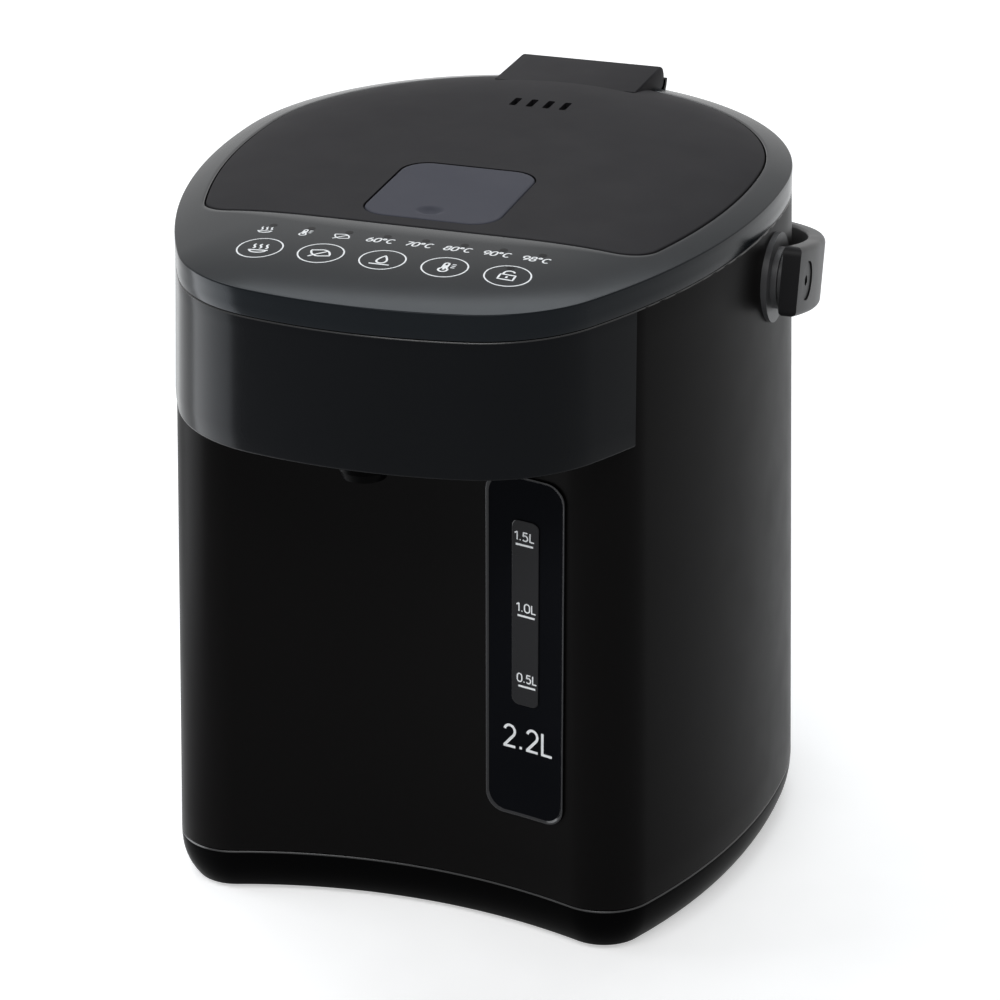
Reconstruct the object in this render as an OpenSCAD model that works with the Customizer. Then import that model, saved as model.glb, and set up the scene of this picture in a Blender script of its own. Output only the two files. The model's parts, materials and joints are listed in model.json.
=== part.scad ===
// Electric thermo pot: a vacuum vessel in a moulded housing, with a hinged lid,
// a pumped spout over a hollow front, a level gauge and a folding carry handle.
// +X is on the right as seen from the front, -Y is the front and +Z is up.
// The origin is on the table, at the middle of the width.

/* [Plan of the rim] */
// Width over the rim
rim_w = 206; // [198:1:214]
// Reach of the rim in front of the origin
rim_front = 151; // [148:1:154]
// Radius of the rim's front
rim_front_r = 180; // [170:1:200]
// Radius of the rim's front corners
rim_corner_r = 52; // [46:1:58]
// Radius of the rim's sides
rim_side_r = 256; // [250:1:275]
// How far the rim reaches back from the origin
rim_back = 113.4; // [112:0.2:115]

/* [Plan of the foot] */
// How far the foot stands out beyond the rim at each side
side_flare = 7; // [5:0.5:8]
// How far the foot stands out beyond the rim at the back
back_flare = 3.6; // [2.6:0.2:4.6]
// Distance from the origin to the middle of the hollow front
hollow_front = 99; // [96:1:102]
// Radius of the hollow front
hollow_r = 195.5; // [185:0.5:215]
// Radius of the front corners beside the hollow
foot_corner_r = 20.5; // [17:0.5:24]
// Radius of the sides at the foot
foot_side_r = 238; // [232:1:260]

/* [Heights] */
// Height of the rim's outer edge above the table
rim_edge = 250; // [244:1:256]
// Height of the rim's side, from its lower seam to its edge
rim_h = 9.3; // [8.8:0.1:10.2]
// Height of the head's band under the rim
head_h = 48.1; // [44:0.1:52]
// Rise of the panel from the rim's edge to its middle
panel_rise = 5.8; // [4.5:0.1:6.5]
// Height of the head's floor above its lower edge
head_floor = 4; // [3:0.1:8]
// Height of the seam between base and housing
base_top = 18.2; // [15:0.1:24]
// Height of the base above the table
foot_h = 1.5; // [1:0.1:2.5]

/* [Walls and gaps] */
// Wall of the mouldings
wall = 2.2; // [1.9:0.1:2.5]
// Visible gap between fixed mouldings
seam = 0.25; // [0.15:0.05:0.35]
// Gap round parts that move
slide_gap = 0.4; // [0.3:0.05:0.6]
// Radial gap of a pin or shaft in its bore
bore_gap = 0.06; // [0.03:0.01:0.1]
// Depth of the tongues that locate one moulding in the next
tongue = 4; // [3:0.5:6]

/* [Base] */
// Draw-in of the base at the table
base_draw = 5.4; // [3:0.1:7]
// Radius of a rubber foot
foot_r = 7; // [5:0.5:8]
// Depth that a rubber foot is let into the base
foot_sink = 1; // [0.6:0.1:1.4]
// Radius of a base screw's head
screw_head_r = 3; // [2.5:0.1:3.4]
// Length of an air slot under the motor
air_slot_len = 24; // [16:1:28]
// Width of an air slot
air_slot_w = 3; // [2:0.1:4]
// Distance between air slots
air_slot_pitch = 7; // [6:0.1:8]

/* [Lid] */
// Rim left round the lid
lid_margin = 10; // [9:0.5:11]
// Distance from the origin to the lid's front edge
lid_front = 86; // [84:0.5:89]
// Radius of the lid's front corners
lid_corner_r = 14; // [10:1:18]
// Rise of the lid's back above the panel's curve
lid_rise = 4; // [3:0.1:5]
// Depth of the lid's recess below the rim's edge
recess_depth = 12; // [11.5:0.5:13]
// Depth of the lid's skirt below the rim's edge
lid_skirt = 8; // [7:0.5:9]
// Number of steam slots
vent_count = 4; // [2:1:6]
// Distance between steam slots
vent_pitch = 6.4; // [5.5:0.1:7]
// Length of a steam slot
vent_len = 9; // [6:0.5:12]
// Width of a steam slot
vent_w = 2.6; // [2:0.1:3.5]
// Distance of the steam slots behind the origin
vent_y = 50; // [46:0.5:54]
// Radius of the steam duct
steam_r = 6; // [5:0.5:7]

/* [Release plate and latch] */
// Width of the release plate
plate_w = 49; // [44:1:54]
// Depth of the release plate from front to back
plate_d = 55; // [50:1:58]
// Distance from the lid's front edge to the plate
plate_set = 7.5; // [6.5:0.5:9]
// Radius of the plate's corners
plate_r = 10; // [6:0.5:12]
// Thickness of the plate
plate_t = 2.6; // [2.2:0.1:3]
// Radius of the plate's pivot pin
plate_pin_r = 1.2; // [1:0.1:1.4]
// Width of the plate's cam
cam_w = 10; // [8:0.5:12]
// Length of the plate's cam
cam_len = 8; // [6:0.5:9]
// Width of the latch bolt
bolt_w = 28; // [24:1:34]
// Thickness of the latch bolt
bolt_t = 3.4; // [3:0.1:3.8]
// Reach of the bolt beyond the lid
bolt_reach = 2.8; // [2.4:0.1:3.2]
// Outer radius of a latch spring
spring_r = 1.5; // [1.3:0.1:1.6]
// Wire radius of a latch spring
spring_wire = 0.3; // [0.25:0.05:0.35]
// Length of a latch spring
spring_len = 8; // [7:0.5:9]
// Number of coils of a latch spring
coils = 5; // [4:1:6]

/* [Hinge] */
// Distance of the hinge pin in front of the rim's back
hinge_set = 0.9; // [0.4:0.1:1.4]
// Height of the hinge pin above the rim's edge
hinge_rise = 2; // [1.5:0.1:2.5]
// Width of the lid's tail over the hinge
tail_w = 56; // [50:1:60]
// Outer radius of the tail round the pin
tail_r = 5; // [4.8:0.1:5.4]
// Radius of the hinge pin
pin_r = 1.6; // [1.3:0.1:1.9]
// Thickness of the tail's cheeks
cheek = 5; // [4:0.5:6]
// Thickness of the bracket's lugs
lug = 6; // [5:0.5:8]

/* [Vessel] */
// Distance from the rim's side to the inside of the vessel
vessel_set = 26; // [25:0.5:28]
// Distance of the vessel's axis behind the origin
vessel_y = 12; // [10:0.5:14]
// Depth of the vessel's rim below the lid's recess
vessel_drop = 9.5; // [9:0.5:11]
// Sheet of the vessel and jacket
sheet = 1; // [0.8:0.1:1.2]
// Radius of the vessel's floor corner
floor_r = 12; // [8:1:16]
// Distance between the vessel and the outside of its vacuum jacket
jacket_set = 8; // [6.5:0.5:9]
// Radius of the open ring under the jacket
jacket_hole_r = 63; // [62:0.5:66]
// Space below the vessel's floor down to the jacket's lowest face
jacket_drop = 8; // [6:0.5:9]
// Radius of the heater
heater_r = 42; // [36:1:44]
// Thickness of the heater
heater_t = 4; // [3:0.5:5]

/* [Spout and gauge] */
// Distance of the nozzle behind the rim's front
nozzle_set = 12; // [11.5:0.5:15]
// Radius of the nozzle
nozzle_r = 8.7; // [7:0.1:9]
// Radius of the nozzle's bore
nozzle_bore = 4; // [3:0.1:5]
// Depth of the nozzle's tip below the head
nozzle_drop = 6.6; // [5:0.2:9]
// Width of the opening that the spout pipe passes through
pipe_window_w = 116; // [104:1:124]
// Sideways place of the gauge
gauge_x = 45.2; // [43:0.1:47]
// Width of the gauge panel
gauge_w = 30.6; // [27:0.1:32]
// Length of the gauge panel
gauge_len = 140; // [130:1:146]
// Gap between the head and the gauge panel
gauge_drop = 4.6; // [3:0.2:8]
// Radius of the gauge panel's corners
gauge_r = 7; // [5:0.5:9]
// Thickness of the gauge panel
gauge_t = 1; // [0.8:0.1:1.4]
// Width of the gauge's window
window_w = 10.8; // [9:0.1:12]
// Length of the gauge's window
window_len = 70; // [60:1:76]
// Distance from the gauge panel's upper end to the window
window_set = 26.5; // [22:0.5:32]
// Outer radius of the level tube
tube_r = 4.5; // [4:0.1:5]
// Wall of the water tubes
tube_wall = 1.2; // [0.8:0.1:1.5]
// Distance from the housing's inner face to the level tube
tube_set = 1; // [0.6:0.1:1.6]

/* [Carry handle] */
// Distance of the handle's pivots in front of the origin
pivot_front = 3; // [0:0.5:6]
// Depth of the handle's pivots below the rim's lower seam
pivot_drop = 19.7; // [18.7:0.1:22]
// Distance from the rim's side to the handle's inner face
handle_gap = 6.3; // [5.8:0.1:8]
// Inner radius of the handle's sides
handle_side_r = 200; // [180:5:240]
// Room for fingers between the housing's back and the handle, before it droops
finger_gap = 14; // [12:0.5:17]
// Thickness of the handle
handle_t = 6.5; // [6:0.1:8]
// Height of the handle's band
handle_h = 24.5; // [22:0.5:26]
// Bevel of the handle's outer edges
handle_round = 2; // [1:0.1:2.5]
// Reach of the handle's ends in front of the pivots
pad_reach = 12; // [10:0.5:14]
// Angle that the folded handle hangs below level
handle_droop = 15; // [13:0.5:16]
// Radius of the pivot shaft
shaft_r = 4; // [3.5:0.1:4.5]
// Radius of the round plate under the pivot
rose_r = 16; // [14:0.5:17]
// Radius of the pivot's boss
boss_r = 11; // [9.5:0.5:12]
// Radius of the recess for the pivot's screw
screw_seat_r = 7; // [6:0.1:8]

/* [Pump and electrics] */
// Distance of the pump in front of the origin
pump_front = 30; // [27:0.5:33]
// Radius of the pump's chamber
pump_r = 17; // [15:0.5:19]
// Height of the pump's chamber
pump_h = 11; // [10:0.5:12]
// Radius of the port between vessel and pump
port_r = 5; // [4:0.1:5.6]
// Number of impeller vanes
vane_count = 6; // [4:1:8]
// Length of the pump's motor
motor_len = 30; // [28:0.5:31]
// Radius of the pump's motor
motor_r = 14; // [12:0.5:15]
// Height of the motor above the base's floor
motor_lift = 6.3; // [5:0.1:8]
// Radius of the motor's shaft
motor_shaft_r = 1.5; // [1.2:0.1:1.8]
// Width of the main board
board_w = 60; // [54:1:62]
// Depth of the main board
board_d = 80; // [70:1:84]
// Width of the board under the keys
touch_w = 128; // [120:1:132]
// Thickness of the circuit boards
board_t = 1.6; // [1.2:0.1:2]
// Distance between the indicator lamps
led_pitch = 13.6; // [12:0.1:14]
// Width of the power inlet
inlet_w = 42; // [38:1:46]
// Height of the power inlet
inlet_h = 22; // [19:0.5:24]
// Height of the power inlet's middle above the table
inlet_z = 44; // [41:0.5:48]
// Depth of the power inlet's well
inlet_depth = 11; // [9:0.5:12]
// Distance between the power inlet's pins
pin_pitch = 14; // [12:0.5:16]

/* [Hidden] */
$fn = 48;
far = 400;
steps = 5;
rim_half = rim_w / 2;
foot_half = rim_half + side_flare;
foot_back = rim_back + back_flare;
rim_low = rim_edge - rim_h;
head_low = rim_low - head_h;

// ---- Points, arcs and plan outlines ----

function arc_point(c, r, a) = c + r * [cos(a), sin(a)];
function arc(c, r, a0, a1, n) = [for (i = [0:n]) arc_point(c, r, a0 + (a1 - a0) * i / n)];
function without_first(list) = [for (i = [1:len(list) - 1]) list[i]];
function bearing(v) = atan2(v[1], v[0]);
function mix(a, b, t) = a + (b - a) * t;
function ring(points, z) = [for (p = points) [p[0], p[1], z]];

// The front right point where the circles round a and b meet
function meet(a, ra, b, rb) =
    let (d = norm(b - a), u = (b - a) / d, along = (ra^2 - rb^2 + d^2) / (2 * d), off = sqrt(ra^2 - along^2),
         p = a + along * u + off * [-u[1], u[0]], q = a + along * u - off * [-u[1], u[0]])
    p[0] - p[1] > q[0] - q[1] ? p : q;

// A plan made of tangent arcs: the centre and radius of its sides, back, front corners and front
function plan(half_w, side_r, back, corner_r, front, front_r, hollow = false) =
    let (side_c = [half_w - side_r, 0],
         corner_side = side_r - corner_r,
         corner_front = hollow ? front_r + corner_r : front_r - corner_r,
         back_r = (half_w * (2 * side_r - half_w) - back^2) / (2 * (side_r - back)),
         back_c = [0, back - back_r],
         front_c = [0, hollow ? -front - front_r : front_r - front],
         corner_c = meet(front_c, corner_front, side_c, corner_side))
    [side_c, side_r, back_c, back_r, corner_c, corner_r, front_c, front_r, hollow];

// The points of a plan, moved inwards, from the middle of the front round to the right
function outline(p, inset = 0) =
    let (a_front = bearing(p[4] - p[6]), a_side = bearing(p[4] - p[0]), a_back = bearing(p[2] - p[0]),
         hollow = p[8],
         front = arc(p[6], p[7] + (hollow ? inset : -inset), hollow ? 90 : -90, a_front, steps),
         corner = arc(p[4], p[5] - inset, hollow ? a_front - 180 : a_front, a_side, steps),
         side = arc(p[0], p[1] - inset, a_side, a_back, steps),
         back = arc(p[2], p[3] - inset, a_back, 90, 2 * steps),
         half = concat(front, without_first(corner), without_first(side), without_first(back)))
    concat(half, [for (i = [len(half) - 2:-1:1]) [-half[i][0], half[i][1]]]);

straight_r = 2000;
rim_plan = plan(rim_half, rim_side_r, rim_back, rim_corner_r, rim_front, rim_front_r);
neck_plan = plan(rim_half, rim_side_r, rim_back, foot_corner_r, hollow_front, hollow_r, true);
foot_plan = plan(foot_half, foot_side_r, foot_back, foot_corner_r, hollow_front, hollow_r, true);
lid_plan = plan(rim_half - lid_margin, rim_side_r - lid_margin, rim_back - lid_margin,
                lid_corner_r, lid_front, straight_r);

// ---- Solids ----

// A closed solid through rings of points, lowest ring first. Its caps fan out from the ring's middle point
module skin(rings) {
    n = len(rings[0]);
    last = len(rings) - 1;
    fan = floor(n / 2);
    bottom = [for (i = [0:n - 1]) (i + fan) % n];
    top = [for (i = [n:-1:1]) last * n + (i + fan) % n];
    sides = [for (k = [0:last - 1], i = [0:n - 1], half = [0, 1])
             let (a = k * n + i, b = k * n + (i + 1) % n)
             half == 0 ? [a, a + n, b + n] : [a, b + n, b]];
    polyhedron([for (r = rings, p = r) p], concat([bottom, top], sides));
}

module slab(points, lo, hi) translate([0, 0, lo]) linear_extrude(hi - lo)
    polygon([for (p = points) [p[0], p[1]]]);
module tube(r, bore, h) difference() {
    cylinder(r = r, h = h);
    translate([0, 0, -1]) cylinder(r = bore, h = h + 2);
}
module block(lo, hi) translate(lo) cube(hi - lo);
module mirrored() {
    children();
    mirror([1, 0, 0]) children();
}

// Turns +Z to +X and starts at a distance half to the left of the middle
module along_x(y, z, half) translate([-half, y, z]) rotate([0, 90, 0]) children();
// Turns a drawing of Y and Z upright and gives it a width across the middle
module across(w) translate([-w / 2, 0, 0]) rotate([90, 0, 90]) linear_extrude(w) children();

// ---- The housing's drafted skin and the crowned top ----

draft = (foot_half - rim_half) / (rim_low - base_top);
function flare(z) = draft * (rim_low - z);
function body_ring(z, inset) =
    let (t = (z - base_top) / (rim_low - base_top))
    ring(mix(outline(foot_plan, inset), outline(neck_plan, inset), t), z);
module body_skin(inset, lo, hi) skin([body_ring(lo, inset), body_ring(hi, inset)]);
function head_ring(z, inset) = ring(outline(rim_plan, inset - flare(z)), z);
module head_skin(inset, lo, hi) skin([head_ring(lo, inset), head_ring(hi, inset)]);

crown_power = 6;
edge_r = 0.6;
crown_c = [0, (rim_back - rim_front) / 2];
crown_steps = [1, 0.97, 0.93, 0.88, 0.82, 0.75, 0.66, 0.56, 0.45];
function crown_z(s) = rim_edge + panel_rise * (1 - s^crown_power);
function crown_ring(s, inset, drop) =
    [for (p = outline(rim_plan, inset + edge_r))
     let (q = crown_c + s * (p - crown_c)) [q[0], q[1], crown_z(s) - drop]];

// How far out a point lies between the crown's middle (0) and the rim's edge (1)
rim_edge_points = outline(rim_plan, edge_r);
function reach_of(p) =
    let (d = p - crown_c, n = len(rim_edge_points))
    [for (i = [0:n - 1])
     let (a = rim_edge_points[i] - crown_c, b = rim_edge_points[(i + 1) % n] - crown_c,
          before = cross(d, a), after = cross(d, b))
     if (before <= 0 && after > 0) norm(d) / norm(mix(a, b, -before / (after - before)))][0];

lid_back = rim_back - lid_margin;
lid_c = [0, (lid_back - lid_front) / 2];
lid_power = 5;
lid_steps = [1, 0.985, 0.95, 0.9, 0.82, 0.7, 0.55, 0.35, 0.12];
lid_low = rim_edge - lid_skirt;
function lid_lift(y, t) = lid_rise * (y + lid_front) / (lid_back + lid_front) * (1 - t^lid_power);
function lid_z(p, t) = crown_z(reach_of(p)) + lid_lift(p[1], t);
function lid_ring(t, inset, drop) =
    [for (p = outline(lid_plan, inset + edge_r))
     let (q = lid_c + t * (p - lid_c)) [q[0], q[1], lid_z(q, t) - drop]];
function lid_edge_ring(inset, drop) =
    [for (p = outline(lid_plan, inset)) [p[0], p[1], lid_z(p, 1) - edge_r - drop]];
module lid_skin(inset, lo, drop)
    skin(concat([ring(outline(lid_plan, inset), lo), lid_edge_ring(inset, drop)],
                [for (t = lid_steps) lid_ring(t, inset, drop)]));

// ---- Base and housing ----

base_inner = wall + seam;
base_floor = foot_h + wall;
base_power = 2.4;
base_curve = [0, 0.06, 0.18, 0.4, 0.7, 1];
function base_ring(t, inset) =
    ring(outline(foot_plan, inset + base_draw * (1 - t)^base_power), mix(foot_h, base_top, t));

feet_front = [rim_half - 29, -80];
feet_back = [rim_half - 27, 62];
module at_feet() mirrored() for (p = [feet_front, feet_back]) translate(p) children();

screw_r = screw_head_r / 2;
screw_head = 1.2;
screw_sink = 0.6;
screw_column_r = screw_head_r + 1.5;
base_screw_places = [[rim_half - 43, -84], [rim_half - 19, -30],
                     [rim_half - 19, 34], [rim_half - 61, 88]];
module at_base_screws() mirrored() for (p = base_screw_places) translate(p) children();

// Level places that the pump and its motor give to the vessel
bell_h = 17;
motor_neck = 3;
motor_seat = base_floor + motor_lift;
pump_low = motor_seat + motor_len + motor_neck;
jacket_low = pump_low + bell_h;
vessel_floor = jacket_low + jacket_drop;
outlet_side = pump_r - port_r;
pump_x = gauge_x - outlet_side;
pump_y = -pump_front;
module at_pump(z) translate([pump_x, pump_y, z]) children();

module foot_pads() color([0.06, 0.06, 0.06]) at_feet()
    cylinder(r = foot_r - bore_gap, h = foot_h + foot_sink);

module air_slots() at_pump(0) for (i = [-3:3]) translate([i * air_slot_pitch, 0, 0])
    block([-air_slot_w / 2, -air_slot_len / 2, 0], [air_slot_w / 2, air_slot_len / 2, base_floor + 1]);

module base_shell() color([0.04, 0.04, 0.045]) difference() {
    union() {
        difference() {
            skin([for (t = base_curve) base_ring(t, 0)]);
            skin([ring(outline(foot_plan, wall + base_draw), base_floor),
                  ring(outline(foot_plan, base_inner + wall / 2), base_floor + base_draw),
                  ring(outline(foot_plan, base_inner + wall / 2), base_top + 1)]);
        }
        difference() {
            slab(outline(foot_plan, base_inner), base_top - tongue, base_top + tongue);
            slab(outline(foot_plan, base_inner + wall), base_top - tongue - 1, base_top + tongue + 1);
        }
        at_base_screws() translate([0, 0, base_floor - 0.5])
            cylinder(r = screw_column_r, h = base_top - base_floor);
        at_pump(base_floor - 0.5)
            tube(motor_r + bore_gap + wall, motor_r + bore_gap, motor_seat - base_floor + tongue);
    }
    at_feet() translate([0, 0, foot_h - 1]) cylinder(r = foot_r, h = foot_sink + 1);
    at_base_screws() {
        cylinder(r = screw_r + bore_gap, h = far);
        cylinder(r = screw_head_r + slide_gap, h = foot_h + screw_sink + screw_head);
    }
    air_slots();
}

module base_screws() color([0.75, 0.75, 0.78]) at_base_screws() translate([0, 0, foot_h + screw_sink]) {
    cylinder(r = screw_head_r, h = screw_head);
    cylinder(r = screw_r, h = base_top + tongue - foot_h - screw_sink);
}

pivot_y = -pivot_front;
pivot_z = rim_low - pivot_drop;
pivot_neck_r = 8;
head_ledge = head_low + head_floor + wall;
pipe_window_top = rim_low - 6;
gauge_high = head_low - gauge_drop;
gauge_low = gauge_high - gauge_len;
window_high = gauge_high - window_set;
window_low = window_high - window_len;
inlet_back = foot_back - 1;
module inlet_hole(grow) block([-inlet_w / 2 - grow, 0, inlet_z - inlet_h / 2 - grow],
                              [inlet_w / 2 + grow, far, inlet_z + inlet_h / 2 + grow]);
module window_prism(grow) block([gauge_x - window_w / 2 - grow, -far, window_low - grow],
                                [gauge_x + window_w / 2 + grow, 0, window_high + grow]);

module outer_body() color([0.13, 0.12, 0.12]) difference() {
    body_skin(0, base_top + seam, rim_low - seam);
    body_skin(wall, base_top - 1, rim_low + 1);
    window_prism(0);
    block([-pipe_window_w / 2, -far, head_ledge + 1],
          [pipe_window_w / 2, -rim_corner_r, pipe_window_top]);
    along_x(pivot_y, pivot_z, far) cylinder(r = pivot_neck_r + seam, h = 2 * far);
    inlet_hole(seam);
}

// ---- Head: the band over the hollow front, and the rim with its panel ----

band_end = hollow_front + 3;
nozzle_y = rim_front - nozzle_set;
nozzle_low = head_low - nozzle_drop;
nozzle_flange = 3;
nozzle_lip = 1.6;
module head_band() color([0.03, 0.035, 0.04]) difference() {
    intersection() {
        head_skin(0, head_low, rim_low - seam);
        block([-far, -far, 0], [far, -band_end, far]);
    }
    head_skin(wall, head_ledge, rim_low + 1);
    head_skin(wall, head_low - 1, head_ledge - wall);
    slab(body_ring(head_low, -seam), head_low - 1, rim_low + 1);
    translate([0, -nozzle_y, 0]) cylinder(r = nozzle_r + slide_gap, h = far);
}

recess_floor = rim_edge - recess_depth;
vessel_r = rim_half - vessel_set;
vessel_rim = recess_floor - vessel_drop;
collar_low = vessel_rim + 2;
mouth_r = vessel_r + 5;
tub_out = slide_gap + wall;
hinge_y = rim_back - hinge_set;
hinge_z = rim_edge + hinge_rise;
hinge_half = tail_w / 2 + slide_gap;
hinge_shell = tail_r + slide_gap;
tail_front = lid_back - 24;
notch_floor = hinge_z - tail_r - slide_gap;
strike_low = lid_low + 1.5;
module bolt_hole(grow, y0, y1)
    block([-bolt_w / 2 - grow, y0, strike_low - grow], [bolt_w / 2 + grow, y1, strike_low + bolt_t + grow]);

module top_cover() color([0.05, 0.055, 0.065]) difference() {
    union() {
        difference() {
            skin(concat([ring(outline(rim_plan, 0), rim_low), ring(outline(rim_plan, 0), rim_edge - edge_r)],
                        [for (s = crown_steps) crown_ring(s, 0, 0)]));
            skin(concat([ring(outline(rim_plan, wall), rim_low - 1),
                         ring(outline(rim_plan, wall), rim_edge - edge_r - wall)],
                        [for (s = crown_steps) crown_ring(s, wall, wall)]));
        }
        slab(outline(lid_plan, -tub_out), recess_floor - wall, rim_edge + 1);
        translate([0, vessel_y, collar_low]) cylinder(r = mouth_r + wall, h = recess_floor - collar_low);
        difference() {
            union() {
                slab(outline(neck_plan, base_inner), rim_low - tongue, rim_low + wall);
                slab(outline(neck_plan, wall / 2), rim_low + seam, rim_low + wall);
            }
            slab(outline(neck_plan, base_inner + wall), rim_low - tongue - 1, rim_low + wall + 1);
            block([-far, -far, 0], [far, -lid_front, far]);
        }
    }
    slab(outline(lid_plan, -slide_gap), recess_floor, far);
    translate([0, vessel_y, 0]) cylinder(r = mouth_r, h = far);
    bolt_hole(slide_gap, -lid_front - tub_out - 1, -lid_front);
    along_x(hinge_y, hinge_z, hinge_half) cylinder(r = hinge_shell + wall + seam, h = 2 * hinge_half);
    block([-hinge_half, tail_front, notch_floor], [hinge_half, far, far]);
}

touch_front = -rim_front + 16;
touch_back = -lid_front - 6;
touch_low = rim_edge - 5;
touch_cut = [34, 12];
led_r = 1.5;
led_h = 6;
post_r = 2;
post = [touch_w / 2 - 8, touch_back - 3];
post_top = crown_z(reach_of(post + [post_r, -post_r])) - wall - slide_gap;
module touch_board() color([0.1, 0.35, 0.16]) {
    translate([0, 0, touch_low]) linear_extrude(board_t) polygon([
        [-touch_w / 2, touch_front + touch_cut[1]], [-touch_w / 2 + touch_cut[0], touch_front],
        [touch_w / 2 - touch_cut[0], touch_front], [touch_w / 2, touch_front + touch_cut[1]],
        [touch_w / 2, touch_back], [-touch_w / 2, touch_back]]);
    for (i = [-3.5:3.5]) translate([i * led_pitch, touch_back - 5, touch_low])
        cylinder(r = led_r, h = led_h);
    mirrored() translate([post[0], post[1], touch_low]) cylinder(r = post_r, h = post_top - touch_low);
}

// ---- Vessel ----

jacket_r = vessel_r + jacket_set;
under_vessel = vessel_floor - sheet - 0.1;

module vessel_profile(r, lo, hi, curve) {
    corner = [for (a = [-90:10:0]) arc_point([r - curve, lo + curve], curve, a)];
    polygon(concat([[0, lo]], corner, [[r, hi], [0, hi]]));
}

module inner_vessel() color([0.8, 0.8, 0.82]) translate([0, vessel_y, 0]) difference() {
    rotate_extrude() difference() {
        union() {
            vessel_profile(vessel_r + sheet, vessel_floor - sheet, vessel_rim, floor_r + sheet);
            translate([0, vessel_rim - sheet]) square([jacket_r, sheet]);
        }
        vessel_profile(vessel_r, vessel_floor, vessel_rim + 1, floor_r);
    }
    translate([pump_x, pump_y - vessel_y, 0]) cylinder(r = port_r, h = far);
}

module vacuum_jacket() color([0.72, 0.72, 0.74]) translate([0, vessel_y, 0]) rotate_extrude() difference() {
    width = jacket_r - jacket_hole_r;
    translate([jacket_hole_r, jacket_low]) square([width, vessel_rim - sheet - seam - jacket_low]);
    translate([jacket_hole_r + sheet, jacket_low + sheet]) square([width - 2 * sheet, far]);
    translate([0, vessel_floor - sheet - seam]) square([vessel_r + sheet + seam, far]);
}

module vessel_ring() color([0.2, 0.2, 0.2]) translate([0, vessel_y, vessel_rim + 0.1])
    tube(mouth_r + wall + 1, mouth_r + bore_gap, collar_low - vessel_rim - 0.1);

heater_hole = 14;
heater_rings = [24, 36];
heater_rod = 2.6;
module heater_plate() color([0.7, 0.68, 0.66]) translate([0, vessel_y, under_vessel - heater_t]) {
    tube(heater_r, heater_hole, heater_t);
    rotate_extrude() for (r = heater_rings) translate([r, -2]) circle(r = heater_rod);
}

sensor_r = 6;
sensor_h = 9;
module thermistor() color([0.85, 0.85, 0.87]) translate([0, vessel_y, under_vessel - sensor_h]) {
    cylinder(r = sensor_r, h = sensor_h);
    translate([0, 0, -5]) cylinder(r = sensor_r / 2, h = 5);
}

fuse_r = 5.5;
fuse_h = 7;
fuse_strap = [15, 5, 1];
module thermal_fuse() color([0.9, 0.88, 0.82]) translate([-heater_r - 8, vessel_y, under_vessel - fuse_h]) {
    cylinder(r = fuse_r, h = fuse_h);
    translate([-fuse_strap[0] / 2, -fuse_strap[1] / 2, fuse_h - fuse_strap[2]]) cube(fuse_strap);
}

// ---- Pump, motor and water path ----

tube_bore = tube_r - tube_wall;
tube_y = -(hollow_front + hollow_r - sqrt(hollow_r^2 - gauge_x^2)) + wall + tube_set + tube_r;
port_out = port_r + tube_wall;
chamber_wall = 1.6;
shaft_bush = motor_shaft_r + bore_gap;
outlet_end = pump_front + pump_r + 8;
riser_z = pump_low + (pump_h + chamber_wall) / 2;
module outlet_stub(r, length)
    translate([outlet_side, 0, riser_z - pump_low]) rotate([90, 0, 0]) cylinder(r = r, h = length);

module pump_housing() color([0.85, 0.83, 0.78]) at_pump(pump_low) difference() {
    union() {
        cylinder(r = pump_r + chamber_wall, h = pump_h + chamber_wall);
        translate([0, 0, pump_h]) cylinder(r = port_out, h = bell_h - pump_h + 2);
        outlet_stub(tube_bore + tube_wall, outlet_end - pump_front);
    }
    translate([0, 0, chamber_wall]) cylinder(r = pump_r, h = pump_h - chamber_wall);
    cylinder(r = shaft_bush, h = far);
    translate([0, 0, pump_h - 1]) cylinder(r = port_r, h = far);
    outlet_stub(tube_bore, outlet_end);
}

hub_r = 5;
vane_t = 1.4;
vane_gap = 1.5;
vane_h = pump_h - 2 * chamber_wall - 1.4;
module pump_impeller() color([0.9, 0.9, 0.86]) at_pump(pump_low + chamber_wall + 0.8) difference() {
    union() {
        cylinder(r = pump_r - vane_gap, h = vane_t);
        cylinder(r = hub_r, h = vane_h + 0.4);
        for (i = [0:vane_count - 1]) rotate(i * 360 / vane_count)
            translate([hub_r - 1, -vane_t / 2, 0]) cube([pump_r - hub_r - vane_gap, vane_t, vane_h]);
    }
    translate([0, 0, -1]) cylinder(r = motor_shaft_r, h = far);
}

module motor_shaft() color([0.8, 0.8, 0.82]) at_pump(motor_seat + 4)
    cylinder(r = motor_shaft_r, h = pump_low + pump_h - 2 - motor_seat - 4);

module pump_motor() color([0.6, 0.6, 0.62]) at_pump(motor_seat) difference() {
    union() {
        cylinder(r = motor_r, h = motor_len);
        cylinder(r = hub_r, h = motor_len + motor_neck - 1);
    }
    translate([0, 0, motor_neck]) cylinder(r = shaft_bush, h = far);
}

sleeve_low = jacket_low + sheet + 1.2;
module suction_sleeve() color([0.75, 0.75, 0.75]) at_pump(sleeve_low)
    tube(port_out + 1.5, port_r, under_vessel - sleeve_low);

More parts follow.
